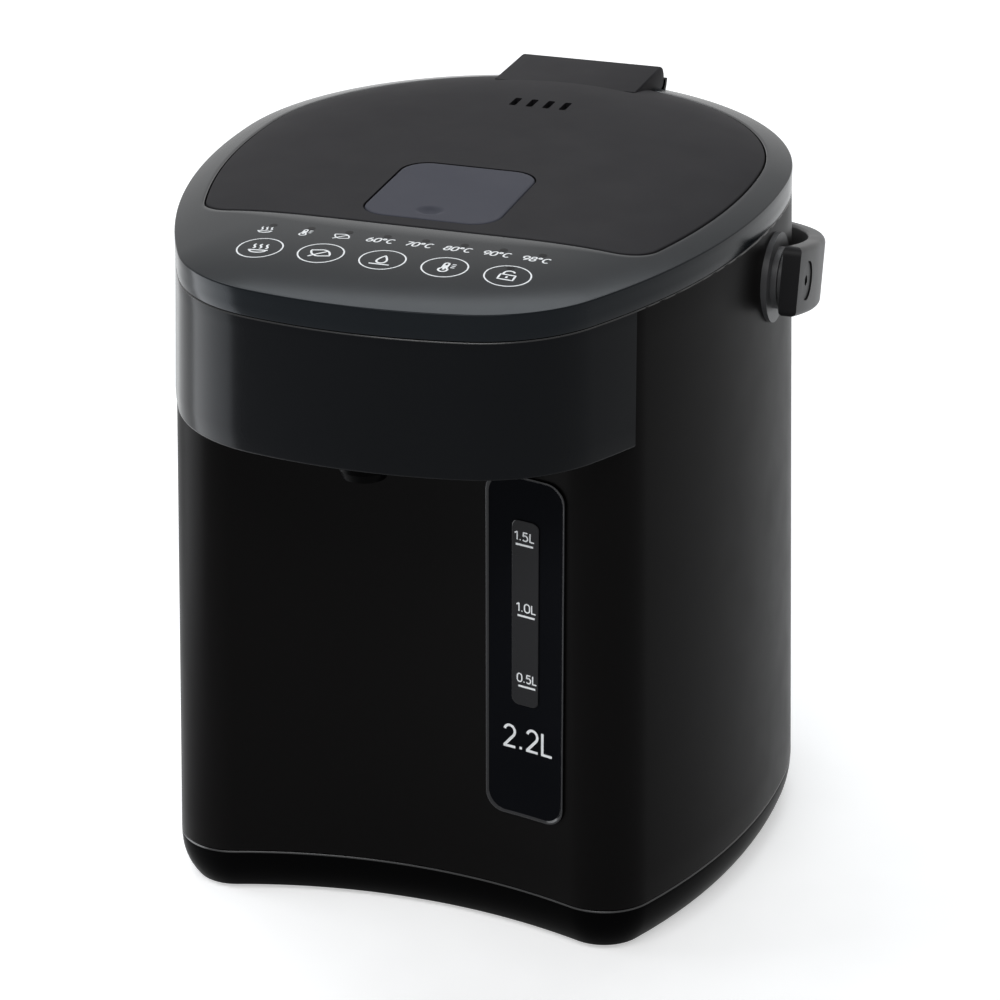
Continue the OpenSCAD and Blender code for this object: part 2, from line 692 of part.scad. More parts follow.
// A round hose through points that lie in the upright plane square to side: outside forward, bore back
hose_sides = 16;
function hose_tangent(path, i) =
    let (a = path[max(i - 1, 0)], b = path[min(i + 1, len(path) - 1)]) (b - a) / norm(b - a);
function hose_ring(path, i, side, r) =
    let (up = cross(side, hose_tangent(path, i)))
    [for (k = [0:hose_sides - 1]) let (a = k * 360 / hose_sides) path[i] + r * (cos(a) * side + sin(a) * up)];
module hose(path, side, r, bore) {
    n = hose_sides;
    last = len(path) - 1;
    rings = concat([for (i = [0:last]) hose_ring(path, i, side, r)],
                   [for (i = [last:-1:0]) hose_ring(path, i, side, bore)]);
    count = len(rings);
    faces = [for (k = [0:count - 1], i = [0:n - 1], half = [0, 1])
             let (m = (k + 1) % count, j = (i + 1) % n)
             half == 0 ? [k * n + i, k * n + j, m * n + j] : [k * n + i, m * n + j, m * n + i]];
    polyhedron([for (q = rings, p = q) p], faces);
}

// Rounds the corner between two straight runs with a quarter bend of radius r
bend_steps = 5;
function bend(corner, from, to, r) =
    let (u = (from - corner) / norm(from - corner), v = (to - corner) / norm(to - corner),
         c = corner + r * (u + v))
    [for (i = [0:bend_steps]) let (a = 90 * i / bend_steps) c - r * (sin(a) * u + cos(a) * v)];

bend_r = 10;
butt = 0.1;
riser_foot = [gauge_x, tube_y, riser_z];
riser_top = [gauge_x, tube_y, jacket_low - butt];
riser_start = [gauge_x, -outlet_end - butt, riser_z];
module riser_hose() color([0.8, 0.8, 0.8])
    hose(concat([riser_start], bend(riser_foot, riser_start, riser_top, bend_r), [riser_top]),
         [1, 0, 0], tube_r + 0.5, tube_bore);

elbow_z = head_ledge + 15;
tube_top = elbow_z - bend_r - 2;
module level_tube() color([0.8, 0.85, 0.88, 0.5]) translate([gauge_x, tube_y, jacket_low])
    tube(tube_r, tube_bore, tube_top - jacket_low);

nozzle_top = head_ledge + nozzle_flange;
spout_foot = [gauge_x, tube_y, tube_top + butt];
spout_a = [gauge_x, tube_y, elbow_z];
spout_b = [0, -nozzle_y, elbow_z];
spout_end = [0, -nozzle_y, nozzle_top + butt];
spout_side = cross((spout_b - spout_a) / norm(spout_b - spout_a), [0, 0, 1]);
module spout_pipe() color([0.25, 0.25, 0.25])
    hose(concat([spout_foot], bend(spout_a, spout_foot, spout_b, bend_r),
                bend(spout_b, spout_a, spout_end, bend_r - 3), [spout_end]),
         spout_side, tube_r + 1, tube_bore);

nozzle_taper = 1.2;
nozzle_tip = 3;
module nozzle() color([0.08, 0.08, 0.085]) translate([0, -nozzle_y, 0]) difference() {
    union() {
        translate([0, 0, nozzle_low]) cylinder(r1 = nozzle_r - nozzle_taper, r2 = nozzle_r, h = nozzle_tip);
        translate([0, 0, nozzle_low + nozzle_tip])
            cylinder(r = nozzle_r, h = nozzle_top - nozzle_low - nozzle_tip);
        translate([0, 0, head_ledge + butt]) cylinder(r = nozzle_r + nozzle_lip, h = nozzle_flange - butt);
    }
    cylinder(r = nozzle_bore, h = far);
}

// ---- Gauge ----

module gauge_plate() translate([gauge_x, 0, 0]) rotate([90, 0, 0]) linear_extrude(far)
    offset(r = gauge_r) offset(delta = -gauge_r)
        translate([-gauge_w / 2, gauge_low]) square([gauge_w, gauge_len]);

module gauge_panel() color([0.03, 0.03, 0.035]) difference() {
    intersection() {
        body_skin(-gauge_t, gauge_low - 1, gauge_high + 1);
        gauge_plate();
    }
    body_skin(-0.05, gauge_low - 2, gauge_high + 2);
    window_prism(0);
}

module gauge_window() color([0.75, 0.8, 0.85, 0.4]) difference() {
    intersection() {
        body_skin(-gauge_t + 0.3, window_low - 1, window_high + 1);
        window_prism(-0.1);
    }
    body_skin(wall - 0.4, window_low - 2, window_high + 2);
}

// ---- Lid ----

liner_top = lid_low - 0.2;
liner_low = liner_top - wall;
plug_r = mouth_r - 6;
plug_low = vessel_rim + 3;
plate_front = -lid_front + plate_set;
plate_back = plate_front + plate_d;
plate_pin_y = plate_back - 2.5;
plate_pin_z = rim_edge + panel_rise - plate_t - 1.4;
ear = 5;
plate_root = rim_edge + panel_rise;

function plate_outline(grow) =
    let (x = plate_w / 2 - plate_r, y = plate_d / 2 - plate_r, c = [0, (plate_back + plate_front) / 2])
    [for (q = [[1, -1, -90], [1, 1, 0], [-1, 1, 90], [-1, -1, 180]], i = [0:steps])
     arc_point(c + [q[0] * x, q[1] * y], plate_r + grow, q[2] + 90 * i / steps)];

// The lid's tail, seen from the side: round over the pin and flat in front of it
tail_skin = 1.4;
notch_gap = 4;
module tail_profile(r, front) {
    intersection() {
        circle(r = r);
        translate([-r, 0]) square([2 * r, r]);
    }
    translate([-front, -notch_gap]) square([front, r + notch_gap]);
}
module tail_bar(r, front, w) across(w) translate([hinge_y, hinge_z]) tail_profile(r, front);

module vent_slots() for (i = [0:vent_count - 1])
    translate([(i - (vent_count - 1) / 2) * vent_pitch, vent_y, 0])
        block([-vent_w / 2, -vent_len / 2, lid_low], [vent_w / 2, vent_len / 2, far]);

module pin_ear() block([plate_w / 2 + 1, plate_pin_y - 3, plate_pin_z - 3],
                       [plate_w / 2 + ear, plate_pin_y + 3, plate_pin_z + 4]);

module lid_outer() color([0.22, 0.22, 0.23]) difference() {
    union() {
        difference() {
            lid_skin(0, lid_low, 0);
            lid_skin(wall, lid_low - 1, wall);
        }
        difference() {
            tail_bar(tail_r, hinge_y - tail_front, tail_w);
            tail_bar(tail_r - tail_skin, hinge_y - tail_front - 3, tail_w - 2 * cheek);
        }
        mirrored() along_x(hinge_y, hinge_z, cheek - tail_w / 2) cylinder(r = tail_r, h = cheek);
        mirrored() pin_ear();
    }
    slab(plate_outline(slide_gap), liner_top, far);
    along_x(hinge_y, hinge_z, far) cylinder(r = pin_r + bore_gap, h = 2 * far);
    along_x(hinge_y, hinge_z, tail_w / 2 - cheek) cylinder(r = tail_r - tail_skin, h = tail_w - 2 * cheek);
    along_x(plate_pin_y, plate_pin_z, far) cylinder(r = plate_pin_r + bore_gap, h = 2 * far);
    bolt_hole(slide_gap, -lid_front - 1, plate_front);
    vent_slots();
}

// The plate's cam slides down a ramp of 45 degrees in the bolt and draws it back
cam_y = plate_front + 15;
cam_sink = 0.9;
cam_tip = strike_low + bolt_t - cam_sink;
bolt_back = cam_y + 12;
ramp_front = cam_y - cam_len - 5;
function ramp_y(z) = cam_y + slide_gap + z - cam_tip;

module release_plate() color([0.2, 0.22, 0.25]) difference() {
    intersection() {
        lid_skin(0, lid_low, 0);
        slab(plate_outline(0), lid_low, far);
        union() {
            difference() {
                block([-far, -far, 0], [far, far, far]);
                lid_skin(0, lid_low - 1, plate_t);
            }
            mirrored() block([plate_w / 2 - plate_r - 4, plate_pin_y - 2.4, plate_pin_z - 2.4],
                             [plate_w / 2 - plate_r + 1, plate_pin_y + 2.4, plate_root]);
            across(cam_w)
                polygon([[cam_y - cam_len, cam_tip], [cam_y, cam_tip],
                         [cam_y + plate_root - cam_tip, plate_root], [cam_y - cam_len, plate_root]]);
        }
    }
    along_x(plate_pin_y, plate_pin_z, far) cylinder(r = plate_pin_r + bore_gap, h = 2 * far);
}

module release_pin() color([0.8, 0.8, 0.82]) along_x(plate_pin_y, plate_pin_z, plate_w / 2 + ear - 1)
    cylinder(r = plate_pin_r, h = plate_w + 2 * ear - 2);

module latch_bolt() color([0.85, 0.84, 0.8]) difference() {
    lo = strike_low - 1;
    hi = strike_low + bolt_t + 1;
    block([-bolt_w / 2, -lid_front - bolt_reach, strike_low], [bolt_w / 2, bolt_back, strike_low + bolt_t]);
    across(cam_w + 2) polygon([[ramp_front, lo], [ramp_y(lo), lo], [ramp_y(hi), hi], [ramp_front, hi]]);
}

coil_parts = 10;
wire_sides = 5;
spring_x = bolt_w / 2 - 5;
spring_end = 0.1;
spring_rise = (spring_len - 2 * spring_wire - 2 * spring_end) / (coils * coil_parts);
function spring_point(i) =
    let (a = i * 360 / coil_parts, r = spring_r - spring_wire)
    [r * cos(a), i * spring_rise + spring_wire + spring_end, r * sin(a)];
function spring_ring(i) =
    let (a = i * 360 / coil_parts)
    [for (k = [0:wire_sides - 1]) let (b = k * 360 / wire_sides)
     spring_point(i) + spring_wire * [cos(b) * cos(a), sin(b), cos(b) * sin(a)]];
module latch_springs() color([0.8, 0.8, 0.8]) for (x = [-spring_x, spring_x])
    translate([x, bolt_back, strike_low + bolt_t / 2])
        skin([for (i = [0:coils * coil_parts]) spring_ring(i)]);

module bolt_rails() mirrored() {
    front = -lid_front + wall + 1;
    block([bolt_w / 2 + bore_gap, front, liner_top - 1], [bolt_w / 2 + wall, bolt_back, strike_low + bolt_t]);
    block([bolt_w / 2 - 5, front, liner_top - 1], [bolt_w / 2 - 2, bolt_back, strike_low - bore_gap]);
}

module lid_inner() color([0.16, 0.16, 0.17]) difference() {
    union() {
        slab(outline(lid_plan, seam), liner_low, liner_top);
        translate([0, vessel_y, plug_low]) cylinder(r = plug_r, h = liner_top - plug_low);
        bolt_rails();
        block([-bolt_w / 2, bolt_back + spring_len, liner_top - 1],
              [bolt_w / 2, bolt_back + spring_len + wall, strike_low + bolt_t]);
    }
    translate([0, vessel_y, plug_low - 1]) cylinder(r = plug_r - wall, h = liner_low - plug_low + 1);
    translate([0, vent_y, 0]) cylinder(r = steam_r + bore_gap, h = far);
}

cap_t = 1;
cap_rim = 5;
cap_low = plug_low - cap_t - 0.1;
cap_hole_r = 1.5;
cap_hole_ring = 20;
module inner_cap() color([0.8, 0.8, 0.82]) translate([0, vessel_y, 0]) difference() {
    union() {
        translate([0, 0, cap_low]) cylinder(r = plug_r, h = cap_t);
        translate([0, 0, cap_low]) tube(plug_r - wall - seam, plug_r - wall - seam - cap_t, cap_t + cap_rim);
    }
    translate([0, vent_y - vessel_y, 0]) cylinder(r = steam_r + bore_gap, h = far);
    for (a = [0:45:315]) rotate(a) translate([cap_hole_ring, 0, 0]) cylinder(r = cap_hole_r, h = far);
}

module lid_gasket() color([0.75, 0.75, 0.73]) translate([0, vessel_y, 0]) rotate_extrude()
    translate([plug_r, vessel_rim])
        polygon([[0.1, 2.6], [3.4, 0.3], [4, 1], [1.6, 4.2], [1.6, 7], [0.1, 7]]);

duct_wall = 1.5;
duct_h = 9;
duct_half = [vent_count * vent_pitch / 2, vent_len / 2 + 1];
duct_foot = liner_top + 0.1;
duct_low = cap_low - 1.9;
module steam_duct() color([0.3, 0.3, 0.31]) translate([0, vent_y, 0]) difference() {
    union() {
        translate([0, 0, duct_low]) cylinder(r = steam_r, h = duct_foot + duct_wall - duct_low);
        block([-duct_half[0], -duct_half[1], duct_foot], [duct_half[0], duct_half[1], duct_foot + duct_h]);
    }
    translate([0, 0, -1]) cylinder(r = steam_r - duct_wall, h = liner_top + 3);
    block([duct_wall - duct_half[0], duct_wall - duct_half[1], duct_foot + duct_wall],
          [duct_half[0] - duct_wall, duct_half[1] - duct_wall, far]);
}

// ---- Hinge ----

lug_x = tail_w / 2 - cheek - slide_gap - lug;
lug_r = tail_r - tail_skin - slide_gap;
stem = [-3, 0.4];
bracket_t = 1;
module hinge_bracket() color([0.06, 0.06, 0.065]) difference() {
    union() {
        difference() {
            along_x(hinge_y, hinge_z, hinge_half) cylinder(r = hinge_shell + wall, h = 2 * hinge_half);
            along_x(hinge_y, hinge_z, far) cylinder(r = hinge_shell, h = 2 * far);
            block([-far, 0, hinge_z - 1], [far, far, far]);
            block([-far, 0, hinge_z - notch_gap - slide_gap], [far, hinge_y, far]);
        }
        block([-hinge_half, lid_back + 2 * slide_gap, notch_floor],
              [hinge_half, hinge_y - tail_r, notch_floor + bracket_t]);
        mirrored() {
            translate([lug_x, 0, 0]) along_x(hinge_y, hinge_z, 0) cylinder(r = lug_r, h = lug);
            block([lug_x, hinge_y + stem[0], hinge_z - hinge_shell - 1],
                  [lug_x + lug, hinge_y + stem[1], hinge_z]);
        }
    }
    along_x(hinge_y, hinge_z, far) cylinder(r = pin_r + bore_gap, h = 2 * far);
}

module hinge_pin() color([0.8, 0.8, 0.82]) along_x(hinge_y, hinge_z, tail_w / 2 - 0.5)
    cylinder(r = pin_r, h = tail_w - 1);

// ---- Carry handle, drawn level round its pivots and then drooped ----

handle_half = rim_half + handle_gap;
handle_back = foot_back + pivot_front + finger_gap;
handle_corner_r = 40;
handle_front = 60;
handle_front_r = 300;
handle_plan = plan(handle_half, handle_side_r, handle_back, handle_corner_r, handle_front, handle_front_r);
pad_sink = 2;
pivot_len = handle_half + handle_t - pad_sink;
module handle_bar() skin([for (q = [[-handle_h / 2, handle_round], [-handle_h / 2 + handle_round, 0],
                                    [handle_h / 2 - handle_round, 0], [handle_h / 2, handle_round]])
                          ring(outline(handle_plan, q[1] - handle_t), q[0])]);

module carry_handle() color([0.1, 0.1, 0.1])
    translate([0, pivot_y, pivot_z]) rotate([-handle_droop, 0, 0]) difference() {
        handle_bar();
        slab(outline(handle_plan, 0), -far, far);
        block([-far, -far, -far], [far, -pad_reach, far]);
        along_x(0, 0, far) cylinder(r = shaft_r + bore_gap, h = 2 * far);
        mirrored() along_x(0, 0, -pivot_len) cylinder(r = screw_seat_r, h = far);
    }

rose_t = 2;
boss_gap = 0.7;
boss_step = 1.5;
module handle_pivot() {
    difference() {
        along_x(pivot_y, pivot_z, 0) {
            translate([0, 0, rim_half - rose_t]) cylinder(r = rose_r, h = 2 * rose_t);
            cylinder(r = boss_r, h = handle_half - boss_gap - boss_step);
            cylinder(r = boss_r - boss_step, h = handle_half - boss_gap);
            cylinder(r = shaft_r, h = pivot_len - bore_gap);
        }
        body_skin(-0.1, pivot_z - 30, rim_low + 30);
    }
    along_x(pivot_y, pivot_z, 8 - rim_half) cylinder(r = pivot_neck_r, h = 12);
}
module handle_pivot_right() color([0.16, 0.16, 0.17]) handle_pivot();
module handle_pivot_left() color([0.16, 0.16, 0.17]) mirror([1, 0, 0]) handle_pivot();

key_r = 2;
screw_floor = 0.6;
module handle_screws() color([0.1, 0.1, 0.1])
    mirrored() along_x(pivot_y, pivot_z, -pivot_len) difference() {
        cylinder(r = screw_seat_r - slide_gap, h = pad_sink - screw_floor);
        translate([0, 0, screw_floor]) cylinder(r = key_r, h = far, $fn = 6);
    }

// ---- Electrics ----

board_low = base_top + 8;
board_top = board_low + board_t;
board_place = [19 - rim_half, -30];
stand_r = 2.5;
stand_set = 6;
relay = [20, 22, 10.4];
coil_r = 6;
coil_h = 14;
module on_board(x, y, z) translate([board_place[0] + x, board_place[1] + y, z]) children();
module main_board() color([0.1, 0.32, 0.15]) {
    on_board(0, 0, board_low) cube([board_w, board_d, board_t]);
    for (x = [stand_set, board_w - stand_set], y = [stand_set, board_d - stand_set])
        on_board(x, y, base_floor + 0.1) cylinder(r = stand_r, h = board_low - base_floor - 0.1);
    on_board(14, 20, board_top) cube(relay);
    on_board(46, 50, board_top) cylinder(r = coil_r, h = coil_h);
}

inlet_lip = 2.5;
inlet_body = 16;
inlet_pin_r = 2;
module at_pins(y) for (x = [-pin_pitch / 2, pin_pitch / 2])
    translate([x, y, inlet_z]) rotate([-90, 0, 0]) children();
module power_inlet() color([0.07, 0.07, 0.07]) difference() {
    block([-inlet_w / 2, inlet_back - inlet_body, inlet_z - inlet_h / 2],
          [inlet_w / 2, inlet_back, inlet_z + inlet_h / 2]);
    block([-inlet_w / 2 + inlet_lip, inlet_back - inlet_depth, inlet_z - inlet_h / 2 + inlet_lip],
          [inlet_w / 2 - inlet_lip, far, inlet_z + inlet_h / 2 - inlet_lip]);
    at_pins(0) cylinder(r = inlet_pin_r, h = far);
}

module inlet_pins() color([0.85, 0.7, 0.35])
    at_pins(inlet_back - inlet_body - 2) cylinder(r = inlet_pin_r - bore_gap, h = 12);

magnet = [5, 3, 12];
magnet_set = inlet_w / 2 - inlet_lip - 4;
module inlet_magnets() color([0.6, 0.6, 0.62]) for (x = [-magnet_set, magnet_set])
    translate([x - magnet[0] / 2, inlet_back - inlet_depth + 0.1, inlet_z - magnet[2] / 2]) cube(magnet);

foot_pads();
base_shell();
base_screws();
outer_body();
head_band();
top_cover();
touch_board();
inner_vessel();
vacuum_jacket();
vessel_ring();
heater_plate();
thermistor();
thermal_fuse();
pump_housing();
pump_impeller();
motor_shaft();
pump_motor();
suction_sleeve();
riser_hose();
level_tube();
spout_pipe();
nozzle();
gauge_panel();
gauge_window();
lid_outer();
lid_inner();
inner_cap();
lid_gasket();
steam_duct();
release_plate();
release_pin();
latch_bolt();
latch_springs();
hinge_bracket();
hinge_pin();
carry_handle();
handle_pivot_right();
handle_pivot_left();
handle_screws();
main_board();
power_inlet();
inlet_pins();
inlet_magnets();
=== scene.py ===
import json
import math

import bmesh
import bpy
import numpy as np
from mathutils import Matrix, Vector


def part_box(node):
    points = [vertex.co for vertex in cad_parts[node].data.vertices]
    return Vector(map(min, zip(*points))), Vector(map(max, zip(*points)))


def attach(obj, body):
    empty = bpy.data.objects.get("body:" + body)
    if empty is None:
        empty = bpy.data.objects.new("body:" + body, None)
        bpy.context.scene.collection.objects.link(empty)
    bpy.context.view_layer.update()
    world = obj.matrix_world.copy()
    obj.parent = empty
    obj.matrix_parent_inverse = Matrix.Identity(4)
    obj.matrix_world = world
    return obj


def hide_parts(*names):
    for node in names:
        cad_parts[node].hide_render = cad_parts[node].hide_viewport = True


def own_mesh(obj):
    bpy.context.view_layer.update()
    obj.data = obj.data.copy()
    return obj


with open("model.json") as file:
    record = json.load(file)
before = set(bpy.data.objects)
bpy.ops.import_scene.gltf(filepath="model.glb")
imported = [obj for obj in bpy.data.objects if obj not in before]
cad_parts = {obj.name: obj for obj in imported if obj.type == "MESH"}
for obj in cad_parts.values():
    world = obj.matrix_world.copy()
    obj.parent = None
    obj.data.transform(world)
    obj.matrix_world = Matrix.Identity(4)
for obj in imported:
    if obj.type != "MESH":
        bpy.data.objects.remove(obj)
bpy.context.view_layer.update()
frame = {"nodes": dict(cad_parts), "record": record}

# Points and sizes are in millimetres. build() and decal() turn them into metres.
MM = 0.001


def node_box(name):
    """The lowest and highest corner of a CAD node, in millimetres."""
    return [np.array(v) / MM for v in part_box(name)]


# ---------------------------------------------------------------- plans

# how many steps the front, the corner, the side and the back of half an outline have
COARSE = (20, 18, 14, 36)
MIDDLE = (60, 50, 40, 90)
FINE = (70, 60, 40, 110)


def bearing(v):
    return math.atan2(v[1], v[0])


def meet(a, ra, b, rb):
    """The point at the right and the front where two circles meet."""
    d = np.linalg.norm(b - a)
    u = (b - a) / d
    along = (ra * ra - rb * rb + d * d) / (2 * d)
    off = math.sqrt(ra * ra - along * along)
    n = np.array([-u[1], u[0]])
    p, q = a + along * u + off * n, a + along * u - off * n
    return p if p[0] - p[1] > q[0] - q[1] else q


def plan(half, side_r, back, corner_r, front, front_r, hollow=False):
    """Tangent arcs for an outline: the half width, the reach to the back and to the front, and the
    radii of the side, the corner and the front. A hollow front bends inwards."""
    side = np.array([half - side_r, 0.0])
    back_r = (half * (2 * side_r - half) - back ** 2) / (2 * (side_r - back))
    centre = np.array([0.0, -front - front_r if hollow else front_r - front])
    reach = front_r + corner_r if hollow else front_r - corner_r
    corner = meet(centre, reach, side, side_r - corner_r)
    return {"side": side, "side_r": side_r, "back": np.array([0.0, back - back_r]),
            "back_r": back_r, "corner": corner, "corner_r": corner_r, "front": centre,
            "front_r": front_r, "hollow": hollow}


def arc(c, r, a0, a1, n):
    t = np.linspace(a0, a1, n + 1)
    return np.stack([c[0] + r * np.cos(t), c[1] + r * np.sin(t)], 1)


def outline(p, inset=0.0, steps=COARSE):
    """The closed outline of a plan, moved inwards by inset."""
    a_front = bearing(p["corner"] - p["front"])
    a_side = bearing(p["corner"] - p["side"])
    a_back = bearing(p["back"] - p["side"])
    if p["hollow"]:
        first = arc(p["front"], p["front_r"] + inset, math.pi / 2, a_front, steps[0])
        turn = a_front - math.pi
    else:
        first = arc(p["front"], p["front_r"] - inset, -math.pi / 2, a_front, steps[0])
        turn = a_front
    half = np.vstack([first,
                      arc(p["corner"], p["corner_r"] - inset, turn, a_side, steps[1])[1:],
                      arc(p["side"], p["side_r"] - inset, a_side, a_back, steps[2])[1:],
                      arc(p["back"], p["back_r"] - inset, a_back, math.pi / 2, steps[3])[1:]])
    left = half[-2:0:-1] * np.array([-1, 1])
    return np.vstack([half, left])


def fine(p, inset):
    return outline(p, inset, FINE)


RIM_HALF, RIM_BACK, RIM_FRONT = 103, 113.4, 151
LID_HALF, LID_BACK, LID_FRONT = 93, 103.4, 86.0
FOOT_HALF, FOOT_BACK = 110, 117
HOLLOW_Y, HOLLOW_R, CORNER_R = 99, 195.5, 20.5

RIM = plan(RIM_HALF, 256, RIM_BACK, 52, RIM_FRONT, 180)
NECK = plan(RIM_HALF, 256, RIM_BACK, CORNER_R, HOLLOW_Y, HOLLOW_R, hollow=True)
FOOT = plan(FOOT_HALF, 238, FOOT_BACK, CORNER_R, HOLLOW_Y, HOLLOW_R, hollow=True)
LID = plan(LID_HALF, 246, LID_BACK, 14, LID_FRONT, 2000)

BASE_TOP, HEAD_LOW, RIM_LOW, RIM_EDGE = 18.2, 192.6, 240.7, 250.0
WALL = 2.2
SEAM = 0.25  # half the gap that shows between two shells
DRAFT = (FOOT_HALF - RIM_HALF) / (RIM_LOW - BASE_TOP)


def flare(z):
    """How far the drafted walls stand out from the rim's outline at a height."""
    return DRAFT * (RIM_LOW - z)


def body_outline(z, inset=0.0):
    t = (z - BASE_TOP) / (RIM_LOW - BASE_TOP)
    return outline(FOOT, inset) * (1 - t) + outline(NECK, inset) * t


def at_z(points, z):
    return np.column_stack([points, np.full(len(points), z) if np.isscalar(z) else z])


def ray_hit(poly, origin, pts):
    """For each direction origin->pt, the distance to the closed polygon."""
    d = np.asarray(pts) - origin
    ang = np.arctan2(d[:, 1], d[:, 0])
    rel = poly - origin
    pa = np.unwrap(np.arctan2(rel[:, 1], rel[:, 0]))
    pa0 = pa[0]
    pa = np.append(pa, pa0 + 2 * math.pi)
    rel = np.vstack([rel, rel[:1]])
    a = (ang - pa0) % (2 * math.pi) + pa0
    k = np.clip(np.searchsorted(pa, a, side="right") - 1, 0, len(pa) - 2)
    p, q = rel[k], rel[k + 1]
    u = np.stack([np.cos(a), np.sin(a)], 1)
    den = u[:, 0] * (q - p)[:, 1] - u[:, 1] * (q - p)[:, 0]
    return (p[:, 0] * (q - p)[:, 1] - p[:, 1] * (q - p)[:, 0]) / den


def star(poly, centre, n=720):
    """Points of a closed outline at even bearings from a centre."""
    t = np.linspace(-math.pi / 2, 1.5 * math.pi, n, endpoint=False)
    u = np.stack([np.cos(t), np.sin(t)], 1)
    return centre + u * ray_hit(poly, centre, centre + u)[:, None]


# the crowned tops of the head and of the lid
RIM_R = 0.6  # round upper edge of the head
CROWN_RISE, CROWN_POWER = 5.8, 6
CROWN_C = np.array([0.0, (RIM_BACK - RIM_FRONT) / 2])
CROWN_POLY = outline(RIM, RIM_R, MIDDLE)
LID_RISE, LID_POWER = 4.0, 5
LID_C = np.array([0.0, (LID_BACK - LID_FRONT) / 2])
LID_POLY = outline(LID, 0.6, MIDDLE)


def out_from(centre, poly, pts):
    """How far out the points lie, from 0 at the centre to 1 on the outline."""
    d = np.linalg.norm(pts - centre, axis=1)
    return np.minimum(d / ray_hit(poly, centre, pts + 1e-9), 1.0)


def crown_z(pts):
    pts = np.atleast_2d(pts)
    return RIM_EDGE + CROWN_RISE * (1 - out_from(CROWN_C, CROWN_POLY, pts) ** CROWN_POWER)


def lid_z(pts):
    """The lid's top: the crown, and a rise that grows towards the hinge."""
    pts = np.atleast_2d(pts)
    t = out_from(LID_C, LID_POLY, pts)
    back = (pts[:, 1] + LID_FRONT) / (LID_BACK + LID_FRONT)
    return crown_z(pts) + LID_RISE * back * (1 - t ** LID_POWER)


# ---------------------------------------------------------------- mesh tools

def build(name, verts, faces):
    mesh = bpy.data.meshes.new(name)
    mesh.from_pydata([tuple(np.asarray(v, float) * MM) for v in verts], [],
                     [tuple(int(i) for i in f) for f in faces])
    bm = bmesh.new()
    bm.from_mesh(mesh)
    bmesh.ops.remove_doubles(bm, verts=bm.verts, dist=1e-7)
    bmesh.ops.recalc_face_normals(bm, faces=bm.faces)
    bm.to_mesh(mesh)
    bm.free()
    obj = bpy.data.objects.new(name, mesh)
    bpy.context.scene.collection.objects.link(obj)
    return obj


def loft(rings, loop=False, caps=False):
    """Vertices and faces of a skin over rings with the same number of points."""
    n = len(rings[0])
    verts = np.vstack(rings)
    faces, count = [], len(rings)
    for k in range(count if loop else count - 1):
        m = (k + 1) % count
        for i in range(n):
            j = (i + 1) % n
            faces.append((k * n + i, k * n + j, m * n + j, m * n + i))
    if caps:
        faces.append(tuple(range(n))[::-1])
        faces.append(tuple((count - 1) * n + i for i in range(n)))
    return verts, faces


def rounded(points, radii, n=4):
    """A closed 2-D path with its corners rounded."""
    out = []
    pts = [np.asarray(p, float) for p in points]
    for i, p in enumerate(pts):
        r = radii[i]
        if not r:
            out.append(p)
            continue
        a, b = pts[i - 1], pts[(i + 1) % len(pts)]
        u, v = (a - p) / np.linalg.norm(a - p), (b - p) / np.linalg.norm(b - p)
        half = math.acos(np.clip(u @ v, -1, 1)) / 2
        reach = r / math.tan(half)
        c = p + (u + v) / np.linalg.norm(u + v) * r / math.sin(half)
        s, e = p + u * reach - c, p + v * reach - c
        a0, a1 = bearing(s), bearing(e)
        d = (a1 - a0 + math.pi) % (2 * math.pi) - math.pi
        for k in range(n + 1):
            out.append(c + r * np.array([math.cos(a0 + d * k / n), math.sin(a0 + d * k / n)]))
    return out


def rounded_box(x0, y0, x1, y1, r, n=14, extra=0):
    """A box with round corners, and extra points along its straight sides."""
    centres = ((x1 - r, y0 + r, -90), (x1 - r, y1 - r, 0),
               (x0 + r, y1 - r, 90), (x0 + r, y0 + r, 180))
    corners = [arc((x, y), r, math.radians(a), math.radians(a + 90), n) for x, y, a in centres]
    share = (np.arange(1, extra + 1) / (extra + 1))[:, None]
    pts = []
    for c, following in zip(corners, corners[1:] + corners[:1]):
        pts += [c, c[-1] + (following[0] - c[-1]) * share]
    return np.vstack(pts)


def disc(r, n=48, centre=(0, 0)):
    t = np.linspace(0, 2 * math.pi, n, endpoint=False)
    return np.stack([centre[0] + r * np.cos(t), centre[1] + r * np.sin(t)], 1)


def dense(points, step=1.5):
    """Adds points along the straight runs of a closed outline, so that it can be bent."""
    out = []
    for a, b in zip(points, np.roll(points, -1, 0)):
        n = max(1, int(np.linalg.norm(b - a) / step))
        out += [a + (b - a) * k / n for k in range(n)]
    return np.array(out)


def prism(points, lo, hi, name="tool"):
    """An outline in x and y, drawn out along z."""
    pts = np.asarray(points, float)
    return build(name, *loft([at_z(pts, lo), at_z(pts, hi)], caps=True))


def bar(points, x0, x1):
    """An outline in y and z, drawn out along x."""
    pts = np.asarray(points, float)
    return build("tool", *loft([np.column_stack([np.full(len(pts), x), pts]) for x in (x0, x1)],
                               caps=True))


def box_tool(lo, hi):
    return prism([(lo[0], lo[1]), (hi[0], lo[1]), (hi[0], hi[1]), (lo[0], hi[1])], lo[2], hi[2])


def remove(objects):
    for obj in objects:
        mesh = obj.data
        bpy.data.objects.remove(obj)
        bpy.data.meshes.remove(mesh)


def cut(obj, tools, how="DIFFERENCE"):
    """Boolean with temporary tools, applied at once."""
    for tool in tools:
        mod = obj.modifiers.new("cut", "BOOLEAN")
        mod.operation, mod.solver, mod.object = how, "EXACT", tool
        bpy.context.view_layer.update()
        deps = bpy.context.evaluated_depsgraph_get()
        new = bpy.data.meshes.new_from_object(obj.evaluated_get(deps))
        obj.modifiers.clear()
        old, obj.data = obj.data, new
        bpy.data.meshes.remove(old)
    remove(tools)


